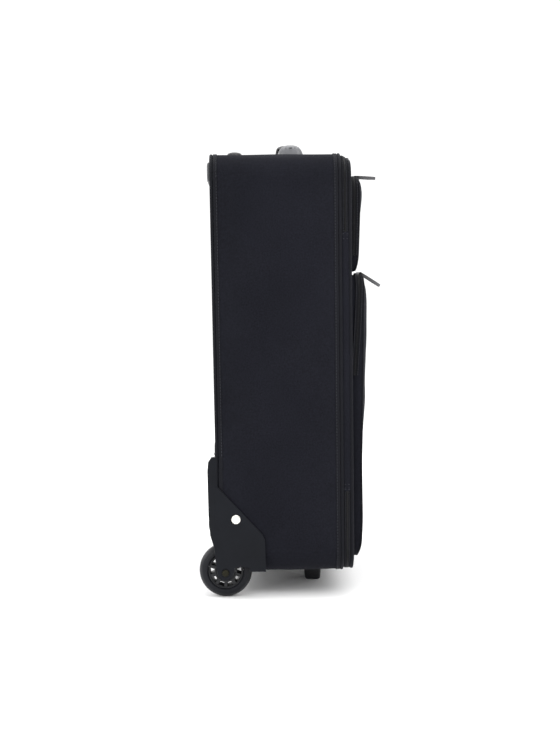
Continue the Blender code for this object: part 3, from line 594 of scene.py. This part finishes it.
def main_zip():
    route = zip_route(GUSSET_INSET)
    tape_gap = 0.0014
    halves = (("case", "main_zipper_body_half", Y_MOUTH - 0.0018, Y_CHAIN + tape_gap),
              ("lid", "main_zipper_lid_half", Y_LID + 0.0022, Y_CHAIN - tape_gap))
    for body, node, outer, inner in halves:
        toward = 1 if outer > inner else -1
        profile = [(-0.0010, outer), (0.0002, outer - toward * 0.0002), (0.0004, inner + toward * 0.0022),
                   (0.0001, inner + toward * 0.0004), (-0.0006, inner), (-0.0012, inner + toward * 0.0002)]
        mesh = carried(route, profile, closed=False)
        new_piece(body + "_zip_tape", mesh, "tape", body, (node,))
        rows = [((x + nx * 0.0004, outer - toward * 0.0020, z + nz * 0.0004), (nx, 0, nz))
                for x, z, nx, nz in route]
        new_piece(body + "_zip_stitches", stitch_row(rows, 0.0030), "thread", body)
        teeth = []
        chain = [((x, Y_CHAIN, z), (nx, 0, nz)) for x, z, nx, nz in route]
        for at, along, out in evenly(chain, 0.0021):
            shift = along * (0.00052 if toward > 0 else -0.00052)
            teeth.append((at + shift + Vector((0, toward * 0.00060, 0)) - out * 0.0009, along, out))
        new_piece(body + "_zip_teeth", beads(teeth, (0.00085, 0.0030, 0.0017, 0.30)),
                  "teeth", body)


def hinge_strip():
    """The plain strip on the left side that the zip leaves out, sewn down at both ends."""
    x = -HALF + GUSSET_INSET
    y0, y1 = Y_LID + 0.0020, Y_MOUTH - 0.0016
    rings = []
    rows = 60
    for k in range(rows + 1):
        z = HINGE_Z[0] - 0.0010 + (HINGE_Z[1] - HINGE_Z[0] + 0.0020) * k / rows
        ring = []
        for i in range(15):
            share = i / 14
            y = y0 + (y1 - y0) * share
            full = 0.0007 * math.sin(math.pi * share) + soften(z, y, 5.0, 45.0, 0.0004)
            ring.append((x - 0.0003 - full, y, z))
        ring += [(x + 0.0008, y1, z), (x + 0.0008, y0, z)]
        rings.append(ring)
    mesh = lofted(rings, ends=True)
    piece = new_piece("hinge_strip", mesh, "cloth_gusset", None, ("lid_hinge_strip",))
    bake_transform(piece)
    for k, z in enumerate((HINGE_Z[1] + 0.0036, HINGE_Z[1] - 0.0022,
                           HINGE_Z[0] - 0.0036, HINGE_Z[0] + 0.0022)):
        lift = 0.0010
        count = 10
        rows = [((x - lift, y0 + (y1 - y0) * i / count, z), (-1, 0, 0)) for i in range(count + 1)]
        seam = new_piece(f"hinge_stitches_{k}", stitch_row(rows, 0.0030), "thread", None)
        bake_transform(seam)
    # Cross tabs over the ends of the zip.
    for k, (z, sign) in enumerate(((HINGE_Z[1], 1), (HINGE_Z[0], -1))):
        low = z + min(0.0006 * sign, 0.0062 * sign)
        high = z + max(0.0006 * sign, 0.0062 * sign)
        rings = []
        for t in range(5):
            zz = low + (high - low) * t / 4
            ring = [(x - 0.0004 - 0.0004 * math.sin(math.pi * t / 4) - 0.0003 * math.sin(math.pi * i / 12),
                     y0 + (y1 - y0) * i / 12, zz) for i in range(13)]
            rings.append(ring + [(x + 0.0004, y1, zz), (x + 0.0004, y0, zz)])
        tab = new_piece(f"zip_end_tab_{k}", lofted(rings, ends=True), "cloth_gusset", None)
        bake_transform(tab)


# The lid and its pockets.

def lid_front():
    mesh = crowned_panel(panel_places(0.0040), Y_LID + 0.0001, -1, 0.0011, 11.0)
    new_piece("lid_cloth", mesh, "cloth", "lid", ("lid_fabric",))
    cord = carried(body_places(GUSSET_INSET, bend=12), cord_ring(-0.0004, Y_LID + 0.0004, 0.0019))
    new_piece("lid_cord", cord, "piping", "lid", ("lid_piping",))
    rows = [((x, Y_LID - 0.0014, z), (0, -1, 0)) for x, z, _, _ in body_places(0.0075, step=0.004)]
    new_piece("lid_stitches", stitch_row(rows, closed=True), "thread", "lid")


POCKETS = {
    "upper": {"node": "upper_pocket", "zip": "upper_pocket_zipper",
              "shape": ((0.3875, 0.0060, 0.0070), (0.3950, 0.0085, 0.0092), (0.4200, 0.0095, 0.0108),
                        (0.4550, 0.0110, 0.0152), (0.4830, 0.0118, 0.0194), (0.4940, 0.0115, 0.0176),
                        (0.4995, 0.0105, 0.0136)),
              "zip_y": (0.0062, 0.0046), "zip_end": 0.405, "seed": 21.0},
    "lower": {"node": "lower_pocket", "zip": "lower_pocket_zipper",
              "shape": ((0.0440, 0.0045, 0.0070), (0.0560, 0.0095, 0.0125), (0.0900, 0.0115, 0.0158),
                        (0.1580, 0.0110, 0.0130), (0.2230, 0.0130, 0.0200), (0.2880, 0.0145, 0.0226),
                        (0.3530, 0.0158, 0.0242), (0.3720, 0.0162, 0.0215), (0.3815, 0.0158, 0.0178)),
              "zip_y": (0.0112, 0.0044), "zip_end": 0.262, "seed": 33.0},
}


def smooth_table(value, places, results):
    """Interpolates a table with rounded steps, so that the surface has no creases at its rows."""
    total, weight = 0.0, 0.0
    for shift in (-0.010, -0.005, 0.0, 0.005, 0.010):
        w = 1 - abs(shift) / 0.014
        total += w * np.interp(value + shift, places, results)
        weight += w
    return total / weight


def pocket_front(name):
    facts = POCKETS[name]
    low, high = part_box(facts["node"])
    half, z0, z1 = high.x, low.z, high.z
    heights, edges, crowns = zip(*facts["shape"])
    middle = (z0 + z1) / 2
    base = Y_LID - 0.0011
    radius = 0.024
    outline = outline_places(half - 0.0004, z0 + 0.0004, z1 - 0.0004, radius, step=0.006, bend=10)

    def depth_at(x, z, dome_on):
        edge = smooth_table(z, heights, edges)
        crown = smooth_table(z, heights, crowns)
        dome = max(0.0, 1 - abs(x / half) ** 4.5) * dome_on
        return edge + (crown - edge) * dome

    rings = []
    seam = []
    wall = 8
    for k in range(wall + 1):
        share = k / wall
        ring = []
        for x, z, nx, nz in outline:
            depth = depth_at(x, z, 0.0) * share * 0.93
            bulge = (0.0007 * math.sin(math.pi * share)
                     + soften(x + z, depth, facts["seed"], 60.0, 0.0005) * share)
            ring.append((x + nx * min(bulge, 0.0010), base - depth, z + nz * min(bulge, 0.0010)))
        rings.append(ring)
    for x, z, nx, nz in outline:
        seam.append((x - nx * 0.0004, base - depth_at(x, z, 0.0) * 0.95, z - nz * 0.0004, nx, nz))
    levels = 26
    for k in range(1, levels + 1):
        share = k / levels
        scale = 1 - 0.99 * share ** 1.25
        ring = []
        for x, z, nx, nz in outline:
            px, pz = x * scale, middle + (z - middle) * scale
            pulled = min(1.0, share / 0.14)
            eased = math.sin(pulled * math.pi / 2)
            inner = 0.93 + 0.07 * eased
            wrinkle = (soften(px, pz, facts["seed"] + 2, 14.0, 0.0016)
                       + soften(px, pz, facts["seed"] + 5, 38.0, 0.0005))
            near_top = math.exp(-max(0.0, z1 - pz) / 0.05)
            pucker = 0.0005 * math.sin(px * 150) * math.exp(-share / 0.06) * near_top
            depth = depth_at(px, pz, eased) * inner + (wrinkle + pucker) * eased
            ring.append((px, base - min(depth, max(crowns) + 0.0015), pz))
        rings.append(ring)
    mesh = lofted(rings, ends=True)
    front = new_piece(name + "_pocket_cloth", mesh, "cloth", "lid", (facts["node"],), angle=60)

    # Cord in the seam between the gusset and the front panel.
    rings = []
    for x, y, z, nx, nz in seam:
        ring = []
        for s in range(8):
            a = 2 * math.pi * s / 8
            o, d = 0.0013 * math.cos(a), 0.0013 * math.sin(a)
            ring.append((x + nx * o, y + d, z + nz * o))
        rings.append(ring)
    new_piece(name + "_pocket_cord", lofted(rings, wrap=True), "piping", "lid")
    foot = [((x + nx * 0.0042, Y_LID - 0.0016, z + nz * 0.0042), (0, -1, 0)) for x, z, nx, nz in outline]
    new_piece(name + "_pocket_stitches", stitch_row(foot, closed=True), "thread", "lid")


def pocket_zip_path(name, out=0.0, deeper=0.0):
    """Points along a pocket's zip as ((x, y, z), outward): up the left side, over the top, down the right."""
    facts = POCKETS[name]
    _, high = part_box(facts["node"])
    half, z1 = high.x, high.z
    radius = 0.024
    end = facts["zip_end"]
    y_top, y_end = Y_LID - facts["zip_y"][0], Y_LID - facts["zip_y"][1]
    places = [(-half, end + (z1 - radius - end) * i / 30, -1.0, 0.0) for i in range(30)]
    for cx, start in ((-half + radius, 180), (half - radius, 90)):
        for i in range(13):
            a = math.radians(start - 90 * i / 12)
            places.append((cx + radius * math.cos(a), z1 - radius + radius * math.sin(a),
                           math.cos(a), math.sin(a)))
    places += [(half, end + (z1 - radius - end) * (29 - i) / 30, 1.0, 0.0) for i in range(30)]
    found = []
    for x, z, nx, nz in places:
        fall = min(1.0, (z1 - z) / (z1 - end))
        y = y_top + (y_end - y_top) * fall ** 1.5
        found.append(((x + nx * out, y - deeper, z + nz * out), (nx, 0, nz)))
    return found


def pocket_zip(name):
    facts = POCKETS[name]
    path = pocket_zip_path(name, out=0.0010)
    tape = []
    for (x, y, z), (nx, _, nz) in path:
        points = ((-0.0006, 0.0046), (0.0002, 0.0044), (0.0003, 0.0012), (-0.0002, 0.0), (0.0003, -0.0012),
                  (0.0002, -0.0044), (-0.0006, -0.0046))
        tape.append([(x + nx * o, y + d, z + nz * o) for o, d in points])
    new_piece(name + "_zip_tape", lofted(tape, ends=True), "tape", "lid", (facts["zip"],))
    teeth = []
    for k, (at, along, out) in enumerate(evenly(path, 0.00105)):
        side = 1 if k % 2 else -1
        teeth.append((at + Vector((0, side * 0.00042, 0)) - out * 0.0006, along, out))
    new_piece(name + "_zip_teeth", beads(teeth, (0.00062, 0.0021, 0.0012, 0.30)), "teeth", "lid")
    for k, shift in enumerate((0.0034, -0.0034)):
        rows = [((p[0], p[1] + shift, p[2]), o) for p, o in pocket_zip_path(name, out=0.0012)]
        new_piece(f"{name}_zip_stitches_{k}", stitch_row(rows, 0.0030), "thread", "lid")


# Zip sliders and pullers.

def puller_detail(pivot, tilt, length):
    """A flat cast tab with a waist, a long window and a raised rim, from its pivot towards -Y."""
    half = 0.0043
    steps = 40
    outer, inner = [], []
    for k in range(steps):
        a = 2 * math.pi * k / steps
        c, s = math.cos(a), math.sin(a)
        along = -c * (length / 2 + 0.0008) + length / 2 - 0.0008
        width = half * (0.72 + 0.28 * min(1, max(0, along / length) * 1.6))
        outer.append((math.copysign(abs(s) ** 0.62, s) * width, along))
        inner.append((math.copysign(abs(s) ** 0.8, s) * width * 0.42, length * 0.50 - c * length * 0.30))
    thick = 0.0019
    rings = []
    for ring, z in ((inner, -thick), (outer, -thick * 0.85), (outer, thick * 0.85), (inner, thick)):
        rings.append([(x, -y, z) for x, y in ring])
    middle = [[((ox * 0.8 + ix * 0.2), -(oy * 0.8 + iy * 0.2), z) for (ox, oy), (ix, iy) in zip(outer, inner)]
              for z in (-thick, thick)]
    mesh = lofted([rings[0], middle[0], rings[1], rings[2], middle[1], rings[3]], wrap=True)
    turn = Matrix.Translation(pivot) @ Matrix.Rotation(math.radians(tilt), 4, "X")
    mesh.transform(turn)
    return mesh


def slider_shell(at, half, depth, height):
    """A slider's rounded body. It sits on its chain with +Z up."""
    rings = []
    for z, grow in ((0.0, 0.90), (0.0004, 1.0), (height * 0.6, 1.0), (height, 0.84)):
        ring = []
        for k in range(28):
            a = 2 * math.pi * k / 28
            c, s = math.cos(a), math.sin(a)
            ring.append((at[0] + math.copysign(abs(c) ** 0.55, c) * half * grow,
                         at[1] + math.copysign(abs(s) ** 0.75, s) * depth * grow, at[2] + z))
        rings.append(ring)
    return lofted(rings, ends=True)


def sliders():
    for name, tilt in (("upper", 4), ("lower", 33)):
        low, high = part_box(name + "_slider")
        at = ((low.x + high.x) / 2, (low.y + high.y) / 2, low.z)
        shell = slider_shell(at, (high.x - low.x) / 2, (high.y - low.y) / 2, 0.0022)
        joint = next(j for j in frame["joints"] if j["name"] == name + "_puller_swing")
        pivot = Vector(joint["pos_m"])
        rings = []
        for k in range(13):
            a = math.pi * k / 12
            centre = Vector((pivot.x, high.y - 0.0012 - (high.y - pivot.y + 0.0004) * (1 - math.cos(a)) / 2,
                             low.z + 0.0012 + (high.z - low.z - 0.0014) * math.sin(a)))
            rings.append([(centre.x + 0.0011 * math.cos(b), centre.y - 0.0006 * math.sin(b) * math.cos(a),
                           centre.z + 0.0006 * math.sin(b) * math.sin(a)) for b in
                          [2 * math.pi * s / 10 for s in range(10)]])
        bridge = lofted(rings, ends=True)
        new_piece(name + "_slider_body", joined([shell, bridge]), "puller", name + "_slider",
                  (name + "_slider",))
        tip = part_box(name + "_puller")[0]
        length = (pivot.y - tip.y) / math.cos(math.radians(tilt)) - 0.0004
        tab = puller_detail(pivot, tilt, length)
        new_piece(name + "_puller_tab", tab, "puller", name + "_puller", (name + "_puller",))
    low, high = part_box("main_slider")
    at = ((low.x + high.x) / 2, (low.y + high.y) / 2, low.z)
    shell = slider_shell(at, (high.x - low.x) / 2, (high.y - low.y) / 2, high.z - low.z)
    new_piece("main_slider_body", shell, "puller", "main_slider", ("main_slider",))
    low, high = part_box("main_puller")
    tab = puller_detail((0, 0, 0), 0, high.x - low.x - 0.002)
    tab.transform(Matrix.Translation((low.x + 0.0015, (low.y + high.y) / 2, (low.z + high.z) / 2))
                  @ Matrix.Rotation(math.radians(90), 4, "Z"))
    new_piece("main_puller_tab", tab, "puller", "main_puller", ("main_puller",))


# Handles.

def carry_handle():
    low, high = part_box("carry_grip")
    rise = high.z - Z1
    end = high.x - 0.0022
    spine = [(-end, 0.0030, 0.0020, 0.0090), (-end + 0.0003, 0.0070, 0.0020, 0.0090),
             (-end + 0.0020, 0.0105, 0.0020, 0.0092), (-end + 0.0070, 0.0135, 0.0021, 0.0094),
             (-end + 0.0145, 0.0155, 0.0024, 0.0100), (-0.064, rise - 0.0058, 0.0030, 0.0112),
             (-0.058, rise - 0.0054, 0.0040, 0.0128), (-0.050, rise - 0.0050, 0.0047, 0.0138),
             (-0.030, rise - 0.0049, 0.0048, 0.0142), (0.0, rise - 0.0049, 0.0048, 0.0143)]
    spine += [(-x, z, t, w) for x, z, t, w in spine[-2::-1]]
    keys = np.linspace(0, 1, len(spine))
    fine = np.linspace(0, 1, 121)
    columns = [np.interp(fine, keys, [row[k] for row in spine]) for k in range(4)]
    kernel = np.array([1, 2, 3, 2, 1]) / 9
    columns = [np.r_[c[:2], np.convolve(c, kernel, "valid"), c[-2:]] for c in columns]
    rings = []
    points = list(zip(*columns))
    for k, (x, z, thick, half) in enumerate(points):
        before, after = points[max(k - 1, 0)], points[min(k + 1, len(points) - 1)]
        along = Vector((after[0] - before[0], 0, after[1] - before[1])).normalized()
        up = Vector((-along.z, 0, along.x))
        rib = 0.00028 * math.cos(x * 2 * math.pi / 0.0052) if abs(x) < 0.048 else 0.0
        ring = []
        for s in range(28):
            a = 2 * math.pi * s / 28
            c, q = math.cos(a), math.sin(a)
            cx = math.copysign(abs(c) ** 0.8, c)
            ring.append(Vector((x, half * cx, Z1 + z)) + up * (thick - 0.0002 + rib) * q)
        rings.append(ring)
    new_piece("carry_handle_bow", lofted(rings, ends=True), "plastic", "carry_handle",
              ("carry_grip",), angle=60)
    for side, sign in (("left", -1), ("right", 1)):
        refined("carry_cap_" + side, "grey_plastic", 0.0012, 25)
        low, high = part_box("carry_cap_" + side)
        centre = (low + high) / 2
        # A dark skirt round the foot of the cap, and the small slot with its two screws on the outer face.
        rings = []
        for z, grow in ((0.0001, 0.0004), (0.0001, 0.0014), (0.0022, 0.0014), (0.0030, 0.0004)):
            rows = outline_places(0.0130 + grow, -0.0160 - grow, 0.0160 + grow, 0.0085, step=0.01, bend=8)
            rings.append([(centre.x + x, centre.y + y, Z1 + 0.0003 + z) for x, y, _, _ in rows])
        skirt = lofted(rings, wrap=True)
        new_piece(f"carry_cap_skirt_{side}", skirt, "plastic", "case")
        x = centre.x + sign * 0.0117
        marks = []
        for dy, wide, tall in ((0.0, 0.0046, 0.0012), (-0.0056, 0.0011, 0.0011), (0.0056, 0.0011, 0.0011)):
            rings = []
            for out in (0.0, 0.0005):
                rings.append([(x + sign * (out + 0.0001), centre.y + dy + wide / 2 * math.cos(a),
                               Z1 + 0.0128 + tall / 2 * math.sin(a))
                              for a in [2 * math.pi * k / 16 for k in range(16)]])
            marks.append(lofted(rings, ends=True))
        new_piece(f"carry_cap_marks_{side}", joined(marks), "plastic", "case")


def trolley():
    refined("trolley_grip", "gloss", 0.0014, 28)
    refined("trolley_cup", "plastic", 0.0006, 40)
    refined("release_button", "grey_plastic", 0.0003, 25)
    for part in ("outer", "mid", "inner"):
        for side in ("left", "right"):
            refined(f"{part}_tube_{side}", "aluminium")
    refined("trolley_base", "plastic")
    refined("back_anchor_plate", "plastic", 0.0005, 20)


# Wheels, housings, feet and the plates on the back.

def turned(profile, centre, steps=72):
    """A closed profile of (radius, x offset) spun about the X axis through centre."""
    rings = []
    for k in range(steps):
        a = 2 * math.pi * k / steps
        rings.append([(centre.x + h, centre.y + r * math.cos(a), centre.z + r * math.sin(a))
                      for r, h in profile])
    return lofted(rings, wrap=True)


def wheels():
    for side in ("left", "right"):
        low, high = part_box("wheel_tyre_" + side)
        centre = (low + high) / 2
        radius, half = (high.z - low.z) / 2, (high.x - low.x) / 2
        profile = [(0.0211, -half * 0.90)]
        for k in range(-9, 10):
            a = math.radians(10 * k)
            groove = 0.00045 if abs(k) == 4 else 0.0
            profile.append((radius - 0.0090 + (0.0090 - groove) * math.cos(a), half * math.sin(a)))
        profile += [(0.0211, half * 0.90), (0.0209, half * 0.80), (0.0209, -half * 0.80)]
        new_piece("tyre_" + side, turned(profile, centre), "tyre", "wheel_" + side,
                  ("wheel_tyre_" + side,))
        refined("wheel_hub_" + side, "hub", 0.0005, 40)
        rims = []
        for sign in (-1, 1):
            face = sign * 0.0095
            rims.append(turned([(0.0188, face), (0.0194, face + sign * 0.0007),
                                (0.0203, face + sign * 0.0006),
                                (0.0206, face)], centre))
            rims.append(turned([(0.0113, face), (0.0116, face + sign * 0.0006),
                                (0.0131, face + sign * 0.0005),
                                (0.0134, face)], centre))
        new_piece("hub_rims_" + side, joined(rims), "hub", "wheel_" + side)
        refined("wheel_bearings_" + side, "hub", 0.0004, 40)
        refined("wheel_axle_" + side, "axle", 0.0003, 40)
        refined("wheel_housing_" + side, "housing", 0.0009, 30)
        refined("housing_rivet_" + side, "rivet")
        refined("foot_" + side, "plastic", 0.0008, 30)
    refined("kick_plate", "plastic", 0.0004, 40)
    ribs = []
    low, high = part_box("kick_plate")
    for k in range(9):
        z = low.z + 0.014 + k * (high.z - low.z - 0.028) / 8
        rings = []
        for x in np.linspace(low.x + 0.010, high.x - 0.010, 9):
            rings.append([(x, high.y - 0.0003 + 0.0011 * math.sin(a), z + 0.0016 * math.cos(a))
                          for a in [math.pi * s / 6 for s in range(7)]])
        ribs.append(lofted(rings, ends=True))
    new_piece("kick_plate_ribs", joined(ribs), "plastic", "case")


def name_tag():
    """The card frame high on the back: a rounded rim round a plain grey card."""
    z, y = 0.4030, Y_BACK + 0.0006
    half, tall = 0.036, 0.0125
    rings = []
    for grow, out in ((0.0, 0.0), (0.0, 0.0016), (-0.0010, 0.0022), (-0.0042, 0.0022),
                      (-0.0050, 0.0012), (-0.0050, 0.0)):
        rows = outline_places(half + grow, z - tall - grow, z + tall + grow, 0.006 + grow * 0.8,
                              step=0.01, bend=8)
        rings.append([(x, y + out, zz) for x, zz, _, _ in rows])
    new_piece("name_tag_frame", lofted(rings, wrap=True), "gloss", "case")
    rings = []
    for out in (0.0, 0.0006):
        rows = outline_places(half - 0.0051, z - tall + 0.0051, z + tall - 0.0051, 0.002, step=0.01, bend=4)
        rings.append([(x, y + out, zz) for x, zz, _, _ in rows])
    new_piece("name_tag_card", lofted(rings, ends=True), "board", "case")


# Inside.

def interior():
    low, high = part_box("lining")
    rim = HALF - high.x
    front, back = low.y, high.y - 0.0007
    def profile(x, z, nx, nz):
        points = []
        for i in range(15):
            y = front + (back - front) * i / 14
            share = math.sin(math.pi * i / 14)
            fold = 0.0011 * abs(noise.noise(Vector((x * 20, y * 45, z * 20)))) * share
            points.append((-0.0002 - fold, y))
        return points + [(0.0001, back), (0.0001, front)]
    wall = carried(outline_places(HALF - rim - 0.0006, Z0 + rim + 0.0006, Z1 - rim - 0.0006, CORNER - rim,
                                  step=0.012), profile)
    wall = carved(wall, wells())
    new_piece("lining_walls", wall, "lining", "case", ("lining",))
    places = panel_places(rim + 0.0008)
    panel = crowned_panel(places, high.y - 0.0007, -1, 0.0008, 51.0)
    panel = carved(panel, wells())
    new_piece("lining_back", panel, "lining", "case")
    low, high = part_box("lid_lining")
    panel = crowned_panel(panel_places(0.0046), high.y - 0.0003, 1, 0.0012, 57.0)
    new_piece("lid_lining_cloth", panel, "lining", "lid", ("lid_lining",))
    rows = outline_places(0.1380, 0.075, 0.440, 0.012, step=0.008, bend=6)
    middle = 0.2575
    rings = []
    for k in range(13):
        share = k / 12
        scale = 1 - 0.98 * share
        rings.append([(x * scale, high.y + 0.0016 + 0.0016 * min(1, share * 3)
                       + soften(x * scale, z, 61.0, 25.0, 0.0006) * min(1, share * 6),
                       middle + (z - middle) * scale)
                      for x, z, _, _ in rows])
    back = [(x, high.y + 0.0009, z) for x, z, _, _ in rows]
    new_piece("lid_mesh_pocket", lofted([back] + rings, ends=True), "mesh", "lid", angle=60)
    rings = []
    for x, z, nx, nz in rows:
        rings.append([(x + nx * o, high.y + 0.0015 + d, z + nz * o) for o, d in
                      ((-0.0050, 0.0004), (-0.0040, 0.0012), (0.0040, 0.0012), (0.0050, 0.0004),
                       (0.0, -0.0002))])
    new_piece("lid_mesh_binding", lofted(rings, wrap=True), "piping", "lid")
    for node in ("side_board_left", "side_board_right", "top_board", "bottom_board", "back_board",
                 "lid_board", "trolley_cover_panel"):
        refined(node, "board")
    low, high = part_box("packing_strap")
    rings = []
    for k in range(61):
        x = low.x + (high.x - low.x) * k / 60
        wave = 0.0003 * math.sin(k * 0.9)
        rings.append([(x, y + wave * (z - 0.29) * 40, z) for y, z in
                      ((high.y, low.z + 0.0006), (high.y, high.z - 0.0006), (low.y + 0.0004, high.z),
                       (low.y, high.z - 0.0008), (low.y + 0.0002, (low.z + high.z) / 2),
                       (low.y, low.z + 0.0008), (low.y + 0.0004, low.z))])
    new_piece("packing_webbing", lofted(rings, ends=True), "webbing", "case", ("packing_strap",))
    refined("strap_buckle", "gloss", 0.0009, 30)
    low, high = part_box("strap_buckle")
    prongs = []
    for sign in (-1, 1):
        rings = []
        for k in range(9):
            x = sign * (0.004 + 0.0165 * k / 8)
            rise = 0.0011 * math.sin(math.pi * k / 8)
            rings.append([(x, low.y + 0.0004 - rise * math.sin(a), 0.29 + 0.0042 * math.cos(a)) for a in
                          [math.pi * s / 8 for s in range(9)]])
        prongs.append(lofted(rings, ends=True))
    new_piece("strap_buckle_prongs", joined(prongs), "plastic", "case")


# The stage: floor, lights and camera.

def studio():
    mesh = lofted([[(x, y, 0.0) for x in (-60, 60)] for y in (-60, 60)], around=False)
    floor = bpy.data.objects.new("floor", mesh)
    mat, *_ = tree_of("floor_look", (0.97, 0.97, 0.97), 0.70)
    mesh.materials.append(mat)
    bpy.context.scene.collection.objects.link(floor)
    world = bpy.data.worlds.new("studio")
    world.use_nodes = True
    world.node_tree.nodes["Background"].inputs["Color"].default_value = (1.0, 1.0, 1.0, 1)
    world.node_tree.nodes["Background"].inputs["Strength"].default_value = 1.15
    bpy.context.scene.world = world
    lights = (("key", (-1.6, -1.5, 1.9), 30, 1.6), ("fill", (-1.7, 1.8, 1.2), 22, 1.6),
              ("top", (0.1, 0.0, 2.2), 26, 2.0), ("back", (0.9, 1.9, 1.0), 16, 1.2))
    for name, place, power, size in lights:
        light = bpy.data.lights.new(name, "AREA")
        light.energy = power
        light.size = size
        obj = bpy.data.objects.new(name, light)
        obj.location = place
        obj.rotation_euler = (Vector((0, 0, 0.28)) - Vector(place)).to_track_quat("-Z", "Y").to_euler()
        bpy.context.scene.collection.objects.link(obj)


ROLL = 0.45                    # degrees; the case stands a little out of upright in the frame


def camera():
    data = bpy.data.cameras.new("camera")
    data.sensor_width = 36
    data.lens = 60.1
    data.shift_x = 27.0 / 746
    data.shift_y = -73 / 746
    data.clip_start = 0.05
    obj = bpy.data.objects.new("camera", data)
    obj.location = (-1.640, 0.04535, 0.3530)
    obj.rotation_euler = (math.radians(90), math.radians(ROLL), math.radians(-90))
    bpy.context.scene.collection.objects.link(obj)
    bpy.context.scene.camera = obj


camera()
case_cloth()
back_cloth()
body_trim()
main_zip()
hinge_strip()
lid_front()
for pocket in POCKETS:
    pocket_front(pocket)
    pocket_zip(pocket)
sliders()
carry_handle()
trolley()
wheels()
name_tag()
interior()
studio()

bpy.context.scene.view_settings.view_transform = "Standard"
